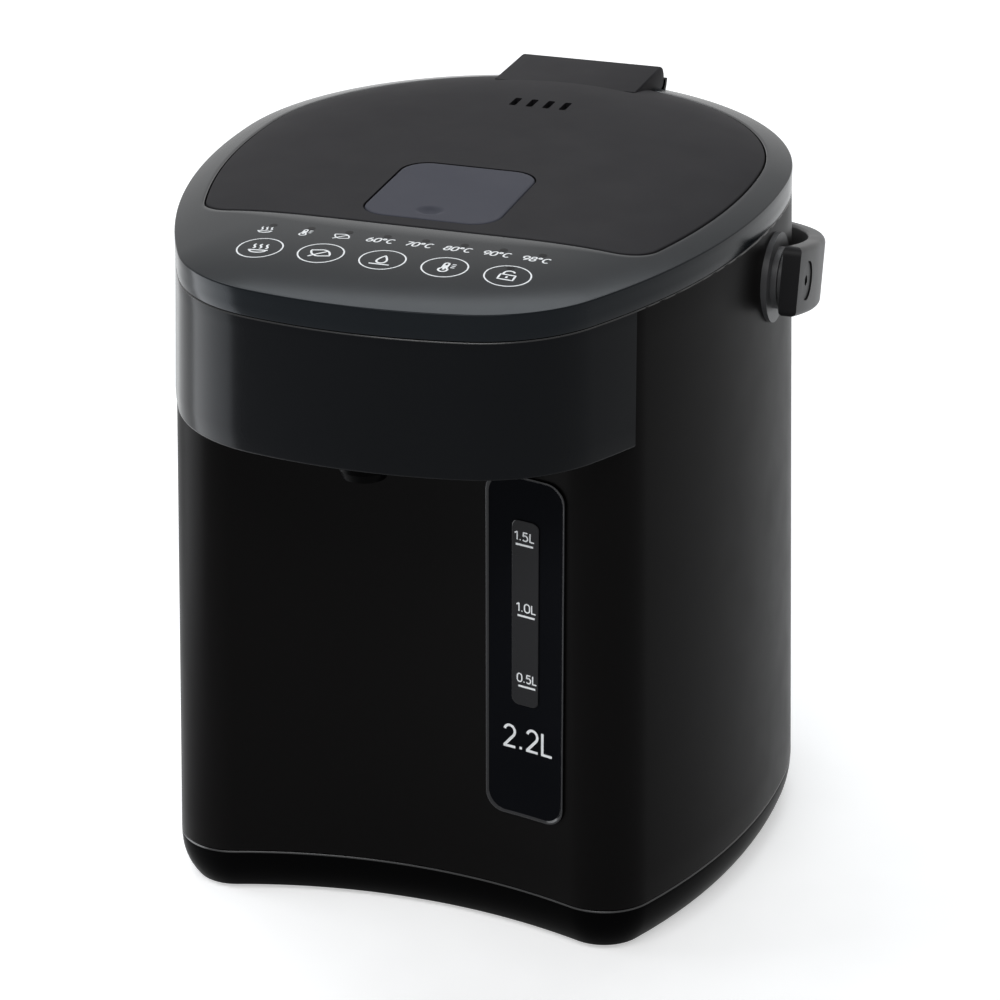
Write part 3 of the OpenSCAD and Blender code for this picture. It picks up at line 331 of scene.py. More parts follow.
def join(name, parts):
    bm = bmesh.new()
    for p in parts:
        bm.from_mesh(p.data)
    mesh = bpy.data.meshes.new(name)
    bm.to_mesh(mesh)
    bm.free()
    obj = bpy.data.objects.new(name, mesh)
    bpy.context.scene.collection.objects.link(obj)
    remove(parts)
    return obj


def smooth(obj, angle):
    obj.data.shade_smooth()
    obj.data.set_sharp_from_angle(angle=math.radians(angle))


def dress(obj, mat, body, slot, *nodes, angle=35):
    """Gives a piece its material, its body and the CAD nodes that it stands for; the slot is not
    used.
    """
    obj.data.materials.clear()
    obj.data.materials.append(mat)
    if angle:
        smooth(obj, angle)
    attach(obj, body)
    if nodes:
        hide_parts(*nodes)
    return obj


# ---------------------------------------------------------------- materials

BUMP_DEPTH = 0.00002  # metres


def principled(name, color, rough, **values):
    mat = bpy.data.materials.new(name)
    mat.use_nodes = True
    b = mat.node_tree.nodes["Principled BSDF"]
    b.inputs["Base Color"].default_value = (*color, 1)
    b.inputs["Roughness"].default_value = rough
    for key, value in values.items():
        b.inputs[key.replace("_", " ")].default_value = value
    return mat, mat.node_tree, b


def noise(tree, scale, detail=2.0, rough=0.5, stretch=None):
    coord = tree.nodes.new("ShaderNodeTexCoord")
    node = tree.nodes.new("ShaderNodeTexNoise")
    node.inputs["Scale"].default_value = scale
    node.inputs["Detail"].default_value = detail
    node.inputs["Roughness"].default_value = rough
    if stretch:
        mapping = tree.nodes.new("ShaderNodeMapping")
        mapping.inputs["Scale"].default_value = stretch
        tree.links.new(coord.outputs["Object"], mapping.inputs["Vector"])
        tree.links.new(mapping.outputs["Vector"], node.inputs["Vector"])
    else:
        tree.links.new(coord.outputs["Object"], node.inputs["Vector"])
    return node.outputs["Fac"]


def spread(tree, fac, lo, hi):
    """A noise, spread over a range of values."""
    node = tree.nodes.new("ShaderNodeMapRange")
    node.inputs["From Min"].default_value = 0.3
    node.inputs["From Max"].default_value = 0.7
    node.inputs["To Min"].default_value = lo
    node.inputs["To Max"].default_value = hi
    tree.links.new(fac, node.inputs["Value"])
    return node.outputs["Result"]


def tint(tree, fac, a, b):
    """A noise, spread between two colours."""
    ramp = tree.nodes.new("ShaderNodeValToRGB")
    ramp.color_ramp.elements[0].position, ramp.color_ramp.elements[1].position = 0.3, 0.7
    ramp.color_ramp.elements[0].color = (*a, 1)
    ramp.color_ramp.elements[1].color = (*b, 1)
    tree.links.new(fac, ramp.inputs["Fac"])
    return ramp.outputs["Color"]


def grain_bump(tree, b, height, strength, depth=BUMP_DEPTH):
    bump = tree.nodes.new("ShaderNodeBump")
    bump.inputs["Strength"].default_value = strength
    bump.inputs["Distance"].default_value = depth
    tree.links.new(height, bump.inputs["Height"])
    tree.links.new(bump.outputs["Normal"], b.inputs["Normal"])


def shades(color, lo, hi):
    return [c * lo for c in color], [c * hi for c in color]


def moulded(name, color, rough, grain=900, strength=0.25, vary=0.12, rough_vary=0.05, **values):
    """Moulded plastic: fine spark-eroded grain, faint flow marks in the colour and in the gloss."""
    mat, tree, b = principled(name, color, rough, **values)
    flow = tint(tree, noise(tree, 14, 3), *shades(color, 1 - vary, 1 + vary))
    gloss = spread(tree, noise(tree, 60, 4), rough - rough_vary, rough + rough_vary)
    tree.links.new(flow, b.inputs["Base Color"])
    tree.links.new(gloss, b.inputs["Roughness"])
    grain_bump(tree, b, noise(tree, grain, 3, 0.6), strength)
    return mat


def polished(name, color, rough, **values):
    """Gloss plastic: nearly mirror smooth, with faint orange peel and uneven gloss."""
    mat, tree, b = principled(name, color, rough, **values)
    cloud = tint(tree, noise(tree, 20, 2), *shades(color, 0.9, 1.1))
    gloss = spread(tree, noise(tree, 120, 5, 0.7), rough * 0.94, rough * 1.06)
    tree.links.new(cloud, b.inputs["Base Color"])
    tree.links.new(gloss, b.inputs["Roughness"])
    grain_bump(tree, b, noise(tree, 180, 2), 0.05)
    return mat


def brushed(name, color, rough, stretch):
    """Brushed metal: fine lines along the axis with the small stretch."""
    mat, tree, b = principled(name, color, rough, Metallic=1.0)
    lines = noise(tree, 900, 2, 0.6, stretch)
    tree.links.new(tint(tree, lines, *shades(color, 0.85, 1.0)), b.inputs["Base Color"])
    tree.links.new(spread(tree, lines, rough - 0.06, rough + 0.08), b.inputs["Roughness"])
    grain_bump(tree, b, lines, 0.15)
    return mat


def printed(name, color):
    """White pad print: slightly uneven ink on the plastic."""
    mat, tree, b = principled(name, color, 0.45)
    ink = tint(tree, noise(tree, 700, 4, 0.7), *shades(color, 0.86, 1.0))
    tree.links.new(ink, b.inputs["Base Color"])
    return mat


# The photo's studio is darker than this one, so the black plastics mirror little of it.
BODY = moulded("body_black", (0.0028, 0.0025, 0.0025), 0.36, grain=1300,
               vary=0.05, rough_vary=0.02, Specular_IOR_Level=0.035)
BASE = moulded("base_black", (0.0012, 0.0012, 0.0013), 0.3, grain=700, strength=0.12,
               vary=0.05, rough_vary=0.02, Specular_IOR_Level=0.012)
BAND = polished("band_black", (0.0022, 0.0024, 0.0032), 0.2,
                Specular_IOR_Level=0.075, Specular_Tint=(0.9, 0.95, 1.0, 1.0))
COVER = polished("cover_black", (0.0035, 0.005, 0.0068), 0.2,
                 Specular_IOR_Level=0.115, Specular_Tint=(0.86, 0.93, 1.0, 1.0))
LID_GREY = moulded("lid_charcoal", (0.0125, 0.0118, 0.0134), 0.6, grain=1100,
                   vary=0.04, rough_vary=0.02, Specular_IOR_Level=0.06)
PLATE = moulded("plate_grey", (0.041, 0.042, 0.055), 0.5, grain=1100,
                vary=0.04, rough_vary=0.02, Specular_IOR_Level=0.06)
HANDLE_BLACK = moulded("handle_black", (0.0055, 0.0053, 0.006), 0.4, grain=1000,
                       vary=0.05, rough_vary=0.02, Specular_IOR_Level=0.12)
INNER = moulded("inner_plastic", (0.03, 0.03, 0.032), 0.45)
NATURAL = moulded("natural_plastic", (0.62, 0.59, 0.52), 0.4)
STEEL = brushed("stainless", (0.62, 0.62, 0.63), 0.28, (1, 1, 0.03))
CAP_STEEL = brushed("stainless_cap", (0.62, 0.62, 0.63), 0.28, (0.03, 1, 1))
PLATED = brushed("plated_steel", (0.66, 0.66, 0.68), 0.25, (1, 1, 0.2))
BRASS = brushed("contact_brass", (0.78, 0.6, 0.3), 0.25, (1, 0.1, 1))
MOTOR = brushed("motor_steel", (0.4, 0.4, 0.42), 0.4, (1, 1, 0.1))
SILICONE = moulded("silicone", (0.5, 0.5, 0.48), 0.4, Transmission_Weight=0.15)
RUBBER = moulded("foot_rubber", (0.012, 0.012, 0.012), 0.7, grain=500, strength=0.4)
BOARD = moulded("board_green", (0.015, 0.09, 0.035), 0.3, grain=250, strength=0.3)
CLEAR = polished("clear", (0.012, 0.012, 0.0165), 0.12,
                 Transmission_Weight=0.25, IOR=1.49, Specular_IOR_Level=0.03)
PRINT = printed("print_white", (0.88, 0.89, 0.9))
GAUGE_LENS = polished("gauge_lens", (0.0045, 0.0045, 0.006), 0.14, Specular_IOR_Level=0.15)
LED_LENS = polished("led_lens", (0.002, 0.002, 0.003), 0.12, Specular_IOR_Level=0.05)
# a lighter, glossier black for the painted highlight lines on the seams' rounded edges
HIGHLIGHT_GLOSS = polished("painted_highlight_gloss", (0.006, 0.0062, 0.007), 0.25)
GAUGE_RIM = polished("gauge_rim", (0.008, 0.0085, 0.0105), 0.16, Specular_IOR_Level=0.3)
GAUGE_BLACK = polished("gauge_black", (0.0038, 0.0042, 0.0056), 0.12, Specular_IOR_Level=0.01)

BY_SLOT = {"body_black": BODY, "base_black": BASE, "band_black": BAND, "cover_black": COVER,
           "lid_charcoal": LID_GREY, "plate_grey": PLATE, "handle_black": HANDLE_BLACK,
           "inner_plastic": INNER, "natural_plastic": NATURAL, "stainless": STEEL,
           "plated_steel": PLATED, "clear": CLEAR, "silicone": SILICONE, "foot_rubber": RUBBER,
           "board_green": BOARD, "contact_brass": BRASS, "motor_steel": MOTOR}
OWN_FINISH = {"inner_cap": CAP_STEEL}  # its brushing runs across, not up
for part in frame["record"]["subparts"]:
    node = frame["nodes"][part["node"]]
    node.data.materials.clear()
    node.data.materials.append(OWN_FINISH.get(part["node"], BY_SLOT[part["material_slot"]]))
    smooth(node, 25)


# ---------------------------------------------------------------- body

GAUGE_LO, GAUGE_HI = node_box("gauge_panel")
LENS_LO, LENS_HI = node_box("gauge_window")
LENS_GAP = 0.1
FRONT_WALL, BACK_WALL = (-130, -85), (90, 130)  # y ranges that go through the walls
PASSAGE_HALF, PASSAGE_LOW, PASSAGE_HIGH = 58, 200, 234.7  # for the pipe, behind the band
INLET_HALF, INLET_LOW, INLET_HIGH = 21.25, 32.75, 55.25
LEVELS = 10  # extra rings up the wall, at least LEVEL_MARGIN from its ends
LEVEL_MARGIN = 12

lo, hi = BASE_TOP + SEAM, RIM_LOW - SEAM
section = rounded([(WALL, lo), (0, lo), (0, hi), (WALL, hi)], [0, 0.5, 0.5, 0])
levels = [(0, z) for z in np.linspace(lo + LEVEL_MARGIN, hi - LEVEL_MARGIN, LEVELS)]
middle = len(section) // 2
section = section[:middle] + levels + section[middle:]
body = build("body_skin", *loft([at_z(body_outline(z, inset), z) for inset, z in section],
                                loop=True))
cut(body, [box_tool((LENS_LO[0] - LENS_GAP, FRONT_WALL[0], LENS_LO[2] - LENS_GAP),
                    (LENS_HI[0] + LENS_GAP, FRONT_WALL[1], LENS_HI[2] + LENS_GAP)),
           box_tool((-PASSAGE_HALF, FRONT_WALL[0], PASSAGE_LOW),
                    (PASSAGE_HALF, FRONT_WALL[1], PASSAGE_HIGH)),
           box_tool((-INLET_HALF, BACK_WALL[0], INLET_LOW),
                    (INLET_HALF, BACK_WALL[1], INLET_HIGH))])
dress(body, BODY, "pot", "body_black", "outer_body")


# ---------------------------------------------------------------- base

BASE_LOW = 1.5
BASE_ROUND, BASE_POWER = 5.4, 2.4  # how far the wall draws in at its foot, and how sharply
FOOT_PADS, PAD_R, PAD_TOP = ((74, -80), (-74, -80), (76, 62), (-76, 62)), 7.05, 2.5
SCREWS, SCREW_R, SCREW_TOP = ((60, -84), (84, -30), (84, 34), (42, 88)), 3.4, 3.3
SLOTS, SLOT_PITCH, SLOT_HALF, SLOT_Y = 7, 7, 1.5, (-42, -18)  # the air slots under the pump


def base_inset(t):
    """How far in the base's wall is, for t from 0 at its foot to 1 at its top."""
    return BASE_ROUND * (1 - t) ** BASE_POWER


profile = [(base_inset(0) + 1.2, BASE_LOW), (base_inset(0) + 0.4, BASE_LOW + 0.1)]
for t in (0.02, 0.05, 0.1, 0.16, 0.24, 0.34, 0.46, 0.6, 0.75, 0.88):
    profile.append((base_inset(t), BASE_LOW + (BASE_TOP - BASE_LOW) * t))
profile += [(0, 17.6), (0.12, 17.95), (0.5, BASE_TOP)]  # the round upper edge
profile += [(3.5, BASE_TOP), (3.55, 9.1), (7.6, 3.7)]  # down inside the wall to the floor
base = build("base_skin", *loft([at_z(outline(FOOT, inset), z) for inset, z in profile],
                                caps=True))
tools = [prism(disc(PAD_R, 40, at), 0, PAD_TOP) for at in FOOT_PADS]
tools += [prism(disc(SCREW_R, 24, (sx, y)), 0, SCREW_TOP) for x, y in SCREWS for sx in (x, -x)]
pump_x = sum(v[0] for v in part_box("pump_motor")) / 2 / MM
for i in range(SLOTS):
    x = pump_x + (i - SLOTS // 2) * SLOT_PITCH
    tools.append(box_tool((x - SLOT_HALF, SLOT_Y[0], 0), (x + SLOT_HALF, SLOT_Y[1], 5)))
cut(base, tools)
dress(base, BASE, "pot", "base_black", "base_shell")


# ---------------------------------------------------------------- head band

LEDGE_Z, LEDGE_INSET, LEDGE_UP = 197, 1.2, 4  # the band's underside, over the cup space
LEDGE_THROUGH = (190, 205)  # z range that goes through it
SPOUT_AT, SPOUT_HOLE = (0, -139), 9.1
BAND_END = -101  # where the band ends, at its sides
BAND_LEAN = 2.03  # how much further back its end is at its top than at its foot
BAND_LEVELS = np.linspace(200, 236, 5)
TOP_OF_LEAN, FOOT_OF_LEAN = 238.33, 192.58

top = RIM_LOW - SEAM
section = rounded([(WALL, HEAD_LOW), (0, HEAD_LOW), (0, top), (WALL, top)], [0.5, 0.9, 0.45, 0])
lower = 10  # the points of the two lower corners
section = section[:lower] + [(0, z) for z in BAND_LEVELS] + section[lower:]
band = build("band_skin", *loft([at_z(outline(RIM, inset - flare(z)), z) for inset, z in section],
                                loop=True))
ledge = prism(outline(RIM, LEDGE_INSET - flare(LEDGE_Z)), HEAD_LOW + LEDGE_UP,
              HEAD_LOW + LEDGE_UP + WALL, "ledge")
cut(ledge, [prism(body_outline(LEDGE_Z, -0.2), *LEDGE_THROUGH),
            prism(disc(SPOUT_HOLE, 64, SPOUT_AT), *LEDGE_THROUGH)])
slant = []
for z in (180.0, 250.0):
    y = BAND_END - BAND_LEAN * (TOP_OF_LEAN - z) / (TOP_OF_LEAN - FOOT_OF_LEAN)
    slant.append(np.array([(-140, -200, z), (140, -200, z), (140, y, z), (-140, y, z)], float))
cut(band, [build("tool", *loft(slant, caps=True))], "INTERSECT")
band = join("band_skin", [band, ledge])
dress(band, BAND, "pot", "band_black", "head_band")


# ---------------------------------------------------------------- top cover

LIP_GROW, TUB_GROW, SKIRT_GROW = 0.9, 0.4, 2.6  # how far outside the lid's outline
LIP_R = LIP_GROW - TUB_GROW
TUB_EDGE, TUB_FLOOR, COLLAR_LOW, TUB_UNDER = 244.0, 238.0, 230.5, 235.8
MOUTH_C, MOUTH_R, COLLAR_R = (0, 12), 82, 84.2
HINGE_GAP_HALF, HINGE_FRONT, HINGE_Y, HINGE_Z = 28.4, 79.4, 112.5, 252
KNUCKLE_R = 7.85
LATCH_SLOT = ((-14.4, -89.6, 243.1), (14.4, -86, 247.3))
COVER_SIDE = ((WALL, RIM_LOW), (0.35, RIM_LOW), (0.1, RIM_LOW + 0.1), (0, RIM_LOW + 0.4),
              (0, 244), (0, 247))  # inset, z


def cover_ring(inset, z):
    return at_z(star(fine(RIM, inset), CROWN_C), z)


def lip_ring(degrees, lift=0.0):
    """A ring of the mouth's round edge, so many degrees down from its top."""
    a = math.radians(degrees)
    pts = star(fine(LID, -LIP_GROW + LIP_R * math.sin(a)), CROWN_C)
    return at_z(pts, crown_z(lip) - LIP_R * (1 - math.cos(a)) + lift)


edge = star(fine(RIM, RIM_R), CROWN_C)
lip = star(fine(LID, -LIP_GROW), CROWN_C)
tub = star(fine(LID, -TUB_GROW), CROWN_C)
skirt = star(fine(LID, -SKIRT_GROW), CROWN_C)
mouth = star(disc(MOUTH_R, 360, MOUTH_C), CROWN_C)
collar = star(disc(COLLAR_R, 360, MOUTH_C), CROWN_C)
rings = [cover_ring(inset, z) for inset, z in COVER_SIDE]
for a in (0, 22, 45, 68):
    a = math.radians(a)
    rings.append(cover_ring(RIM_R - RIM_R * math.cos(a), RIM_EDGE - RIM_R + RIM_R * math.sin(a)))
for t in (0, 0.01, 0.025, 0.05, 0.09, 0.15, 0.23, 0.33, 0.45, 0.58, 0.72, 0.86, 1.0):
    pts = edge + (lip - edge) * t
    rings.append(at_z(pts, crown_z(pts)))
rings += [lip_ring(a) for a in (30, 60, 90)]
rings += [at_z(pts, z) for pts, z in ((tub, TUB_EDGE), (tub, TUB_FLOOR),
                                      (mouth, TUB_FLOOR), (mouth, COLLAR_LOW),
                                      (collar, COLLAR_LOW), (collar, TUB_UNDER),
                                      (skirt, TUB_UNDER), (skirt, 246.0))]
rings.append(cover_ring(WALL, 246.5))
cover = build("cover_skin", *loft(rings, loop=True))
cut(cover, [box_tool((-HINGE_GAP_HALF, HINGE_FRONT, 246.6), (HINGE_GAP_HALF, 160, 300)),
            bar(disc(KNUCKLE_R, 64, (HINGE_Y, HINGE_Z)), -HINGE_GAP_HALF, HINGE_GAP_HALF),
            box_tool(*LATCH_SLOT)])
dress(cover, COVER, "pot", "cover_black", "top_cover", angle=30)


# ---------------------------------------------------------------- painted highlight lines along the seams

PROUD = 0.03
BASE_STRIP = ((0, 17.6), (0.12, 17.97), (0.3, 18.13), (0.48, 18.23))  # inset, z
HEAD_STRIP = ((0, 239.98), (0.13, 240.33), (0.42, 240.48))


def painted_highlight_line(name, rings, slot_name):
    """A painted highlight line: a thin strip of gloss, lighter than the black around it, on a
    rounded edge, just proud of it.
    """
    dress(build(name, *loft(rings)), HIGHLIGHT_GLOSS, "pot", slot_name, angle=60)


painted_highlight_line("base_highlight_line", [at_z(outline(FOOT, inset - PROUD), z) for inset, z in BASE_STRIP],
          "base_black")
painted_highlight_line("head_highlight_line",
          [at_z(outline(RIM, inset - PROUD - flare(z)), z) for inset, z in HEAD_STRIP],
          "band_black")
painted_highlight_line("lid_mouth_highlight_line", [lip_ring(a, PROUD) for a in (10, 35, 60, 85)], "cover_black")


# ---------------------------------------------------------------- lid

LID_R = 0.7  # round upper edge of the lid
LID_LOW = 242.0
PLATE_BACK, PLATE_FRONT, PLATE_HALF, PLATE_R = -23.5, -78.5, 24.5, 10.0
PLATE_GAP = 0.45
VENTS, VENT_PITCH, VENT_HALF, VENT_Y = 4, 6.4, 1.3, (45.5, 54.5)
LID_THROUGH = (240, 270)  # z range that goes through the lid's top
TAIL_LOW, TAIL_TOP, TAIL_BACK = 248.0, 257.0, 117.5
# x of each section of the hinge tail, and how much smaller the section is there
TAIL_SECTIONS = ((-28, 0.8), (-27.7, 0.25), (-27.1, 0), (27.1, 0), (27.7, 0.25), (28, 0.8))
SCALES = (0.01, 0.1, 0.2, 0.32, 0.43, 0.53, 0.62, 0.7, 0.77, 0.83, 0.88, 0.92, 0.95)


def lid_ring(scale, drop=0.0):
    pts = LID_C + (star(fine(LID, LID_R), LID_C) - LID_C) * scale
    return at_z(pts, lid_z(pts) - drop)


rings = [lid_ring(s, WALL) for s in SCALES]
inner = star(fine(LID, WALL), LID_C)
rings.append(at_z(inner, lid_z(inner) - WALL))
for inset, z in ((WALL, LID_LOW), (0.2, LID_LOW), (0, LID_LOW + 0.3), (0, 246)):
    rings.append(at_z(star(fine(LID, inset), LID_C), z))
edge_z = crown_z(star(fine(LID, LID_R), LID_C))
for a in (0, 30, 60):
    a = math.radians(a)
    pts = star(fine(LID, LID_R * (1 - math.cos(a))), LID_C)
    rings.append(at_z(pts, edge_z - LID_R + LID_R * math.sin(a)))
rings += [lid_ring(s) for s in (1.0, 0.995, 0.985, 0.97) + SCALES[::-1]]
lid = build("lid_skin", *loft(rings, caps=True))
tools = [prism(rounded_box(-PLATE_HALF - PLATE_GAP, PLATE_FRONT - PLATE_GAP,
                           PLATE_HALF + PLATE_GAP, PLATE_BACK + PLATE_GAP,
                           PLATE_R + PLATE_GAP), *LID_THROUGH)]
for i in range(VENTS):
    x = (i - (VENTS - 1) / 2) * VENT_PITCH
    tools.append(prism(rounded_box(x - VENT_HALF, VENT_Y[0], x + VENT_HALF, VENT_Y[1], 0.8, 5),
                       *LID_THROUGH))
cut(lid, tools)

# the hinge tail, a rounded tab that rises out of the lid's back
tail_path = rounded([(HINGE_FRONT, TAIL_LOW), (HINGE_Y, TAIL_LOW), (TAIL_BACK, TAIL_LOW),
                     (TAIL_BACK, TAIL_TOP), (HINGE_FRONT, TAIL_TOP)], [0, 0, 2.4, 4.2, 0], 8)
tail_mid = np.array([98.0, (TAIL_LOW + TAIL_TOP) / 2])
rings = []
for x, shrink in TAIL_SECTIONS:
    rings.append(np.array([[x, *(p - np.sign(p - tail_mid) * shrink)] for p in tail_path]))
lid = join("lid_skin", [lid, build("tail", *loft(rings, caps=True))])
dress(lid, LID_GREY, "lid", "lid_charcoal", "lid_outer", angle=40)


# ---------------------------------------------------------------- release plate

DIMPLE_AT, DIMPLE_HALF, DIMPLE_DEPTH = (-1, -69.5), (5.2, 4.2), 1.5
EAR_X, EAR_HALF, EAR_Y, EAR_Z = 13, 2.5, (-28.4, -23.6), (249.4, 254)
CAM_HALF = 5
CAM_SIDE = [(-71.5, 246), (-63.5, 246), (-56, 253.5), (-71.5, 253.5)]


def plate_ring(inset):
    return rounded_box(-PLATE_HALF + inset, PLATE_FRONT + inset, PLATE_HALF - inset,
                       PLATE_BACK - inset, max(PLATE_R - inset, 1.0), 12, 36)


def plate_top(pts):
    d = np.hypot(*((pts - DIMPLE_AT) / DIMPLE_HALF).T)
    return lid_z(pts) - DIMPLE_DEPTH * np.clip(1 - d ** 2, 0, None) ** 1.5


rings = []
for inset, drop in ((0.3, 2.6), (0, 2.3), (0, 1.0), (0.08, 0.5), (0.3, 0.16), (0.7, 0.0)):
    pts = plate_ring(inset)
    rings.append(at_z(pts, lid_z(pts) - drop))
edge = plate_ring(0.7)
mid = np.array([0, (PLATE_BACK + PLATE_FRONT) / 2])
for t in np.linspace(1, 0.02, 40)[1:]:
    pts = mid + (edge - mid) * t
    rings.append(at_z(pts, plate_top(pts)))
plate = build("plate_skin", *loft(rings, caps=True))
ears = [box_tool((x - EAR_HALF, EAR_Y[0], EAR_Z[0]), (x + EAR_HALF, EAR_Y[1], EAR_Z[1]))
        for x in (EAR_X, -EAR_X)]
plate = join("plate_skin", [plate, bar(CAM_SIDE, -CAM_HALF, CAM_HALF)] + ears)
dress(plate, PLATE, "release_plate", "plate_grey", "release_plate", angle=40)


# ---------------------------------------------------------------- latch springs

SPRING_LO, SPRING_HI = node_box("latch_springs")
WIRE, COIL_R, COILS, WIRE_SIDES, COIL_STEPS = 0.3, 1.2, 5, 8, 20
mid_z = (SPRING_LO[2] + SPRING_HI[2]) / 2
start, run = SPRING_LO[1] + WIRE, SPRING_HI[1] - SPRING_LO[1] - 2 * WIRE
around = np.linspace(0, 2 * math.pi, WIRE_SIDES, endpoint=False)
coils = []
for x in (SPRING_LO[0] + COIL_R + WIRE, SPRING_HI[0] - COIL_R - WIRE):
    rings = []
    for t in np.linspace(0, 1, COIL_STEPS * COILS + 1):
        turn = 2 * math.pi * COILS * t
        ca, sa = math.cos(turn), math.sin(turn)
        at = np.array([x + COIL_R * ca, start + run * t, mid_z + COIL_R * sa])
        rings.append(at + WIRE * np.column_stack([np.cos(around) * ca, np.sin(around),
                                                  np.cos(around) * sa]))
    coils.append(build("coil", *loft(rings, caps=True)))
springs = dress(join("spring_coils", coils), PLATED, "lid", "plated_steel", "latch_springs",
                angle=60)
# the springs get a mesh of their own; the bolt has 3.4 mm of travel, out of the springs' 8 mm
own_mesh(springs)


# ---------------------------------------------------------------- carry handle

PIVOT_Y, PIVOT_Z = -3.0, 221.0
HANDLE_HALF, BAR_T, BAR_H = 109.3, 6.5, 24.5  # inside half width, bar thickness and height
PAD, DROOP = 12.0, 15.0  # length of the ends before the pivot, and degrees of droop at rest
RECESS_R, RECESS_DEPTH, PIN_R = 7.0, 2, 5.05
HANDLE = plan(HANDLE_HALF, 200, 134, 40, 60, 300)

top, past = BAR_H / 2, BAR_H / 2 + 1
section = rounded([(0, -top), (0, top), (-BAR_T, top), (-BAR_T, -top)], [1.2, 1.2, 2.2, 2.2], 5)
section = [section[-1]] + section[:-1]
handle = build("handle_bar", *loft([at_z(outline(HANDLE, inset), z) for inset, z in section],
                                   loop=True))
ends = rounded([(-PAD, -past), (300, -past), (300, past), (-PAD, past)], [4.5, 0, 0, 4.5], 8)
cut(handle, [bar(ends, -150, 150)], "INTERSECT")
for side in (1, -1):
    x0 = side * (HANDLE_HALF + BAR_T - RECESS_DEPTH)
    cut(handle, [bar(disc(RECESS_R, 48), x0, x0 + side * 20),
                 bar(disc(PIN_R, 40), side * 90, side * 130)])
tilt = math.radians(-DROOP)
for v in handle.data.vertices:
    y, z = v.co.y, v.co.z
    v.co.y = y * math.cos(tilt) - z * math.sin(tilt) + PIVOT_Y * MM
    v.co.z = y * math.sin(tilt) + z * math.cos(tilt) + PIVOT_Z * MM
soften = handle.modifiers.new("edges", "BEVEL")
soften.width, soften.segments = 0.5 * MM, 2
soften.limit_method, soften.angle_limit = "ANGLE", math.radians(50)
dress(handle, HANDLE_BLACK, "handle", "handle_black", "carry_handle", angle=38)


# ---------------------------------------------------------------- water gauge

GAUGE_X = (GAUGE_LO[0] + GAUGE_HI[0]) / 2
GAUGE_TOP, GAUGE_R = 177.4, 7.0
FACE, LENS_FACE = 0.55, 1.0  # how proud of the wall the panel's and the lens's faces are
LENS_R = 2.6
HOLLOW_C = -HOLLOW_Y - HOLLOW_R  # y of the hollow wall's centre
# inset and height over the wall, from the rim's outer foot over its top to the panel's face
RIM_SECTION = ((0.35, 0.02), (0.35, 0.45), (0, 0.5), (0, 0.8), (0.07, 0.94), (0.25, 1.0),
               (0.5, 1.0), (0.6, 0.94), (1.05, FACE))
LENS_SECTION = ((0, FACE - 0.1), (0, 0.8), (0.1, 0.93), (0.3, LENS_FACE))


def on_wall(pts, proud):
    """Points in x and z, laid on the hollow front wall."""
    r = HOLLOW_R - proud
    return np.column_stack([pts[:, 0], HOLLOW_C + np.sqrt(r * r - pts[:, 0] ** 2), pts[:, 1]])


def shrinker(lo, hi, r, n):
    """A function that draws a rounded box smaller by an inset."""
    pts = dense(rounded_box(lo[0], lo[1], hi[0], hi[1], r, n), 2.0)
    mid, half = (lo + hi) / 2, (hi - lo) / 2
    return lambda inset: mid + (pts - mid) * (1 - inset / half)


def bent_sheet(name, pts, proud):
    """A closed outline filled with a sheet that follows the hollow wall."""
    sheet = build(name, on_wall(pts, proud), [tuple(range(len(pts)))])
    bm = bmesh.new()
    bm.from_mesh(sheet.data)
    for x in np.linspace(pts[:, 0].min(), pts[:, 0].max(), 22)[1:-1]:
        geom = bm.verts[:] + bm.edges[:] + bm.faces[:]
        bmesh.ops.bisect_plane(bm, geom=geom, plane_co=(x * MM, 0, 0), plane_no=(1, 0, 0))
    for v in bm.verts:
        v.co.y = (HOLLOW_C + math.sqrt((HOLLOW_R - proud) ** 2 - (v.co.x / MM) ** 2)) * MM
    bm.to_mesh(sheet.data)
    bm.free()
    return sheet


panel = shrinker(GAUGE_LO[[0, 2]], np.array([GAUGE_HI[0], GAUGE_TOP]), GAUGE_R, 10)
lens = shrinker(LENS_LO[[0, 2]], LENS_HI[[0, 2]], LENS_R, 8)
rim = build("gauge_rim", *loft([on_wall(panel(inset), h) for inset, h in RIM_SECTION]))
face = bent_sheet("gauge_face", panel(RIM_SECTION[-1][0]), FACE)
lens_edge = build("gauge_lens_edge", *loft([on_wall(lens(inset), h) for inset, h in LENS_SECTION]))
lens_face = bent_sheet("gauge_lens_face", lens(LENS_SECTION[-1][0]), LENS_FACE)
window = join("gauge_lens", [lens_edge, lens_face])
dress(window, GAUGE_LENS, "pot", "clear", "gauge_window", angle=30)
dress(rim, GAUGE_RIM, "pot", "band_black", angle=30)
dress(face, GAUGE_BLACK, "pot", "band_black", "gauge_panel", angle=30)


# ---------------------------------------------------------------- print

INK_LIFT = 0.03
INK = 0.62  # stroke width of the pictograms


def place_crown(pts):
    return at_z(pts, crown_z(pts) + INK_LIFT)


def place_gauge(pts):
    return on_wall(pts, FACE + INK_LIFT)


def place_window(pts):
    return on_wall(pts, LENS_FACE + INK_LIFT)


def ribbon(path, width, closed=False):
    """A stroke of even width along a 2-D path."""
    p = np.asarray(path, float)
    nxt, prv = np.roll(p, -1, 0), np.roll(p, 1, 0)
    if not closed:
        nxt[-1], prv[0] = p[-1], p[0]
    t = nxt - prv
    t /= np.linalg.norm(t, axis=1)[:, None]
    n = np.column_stack([-t[:, 1], t[:, 0]]) * width / 2
    count = len(p)
    faces = [(i, (i + 1) % count, count + (i + 1) % count, count + i)
             for i in range(count if closed else count - 1)]
    return np.vstack([p + n, p - n]), faces


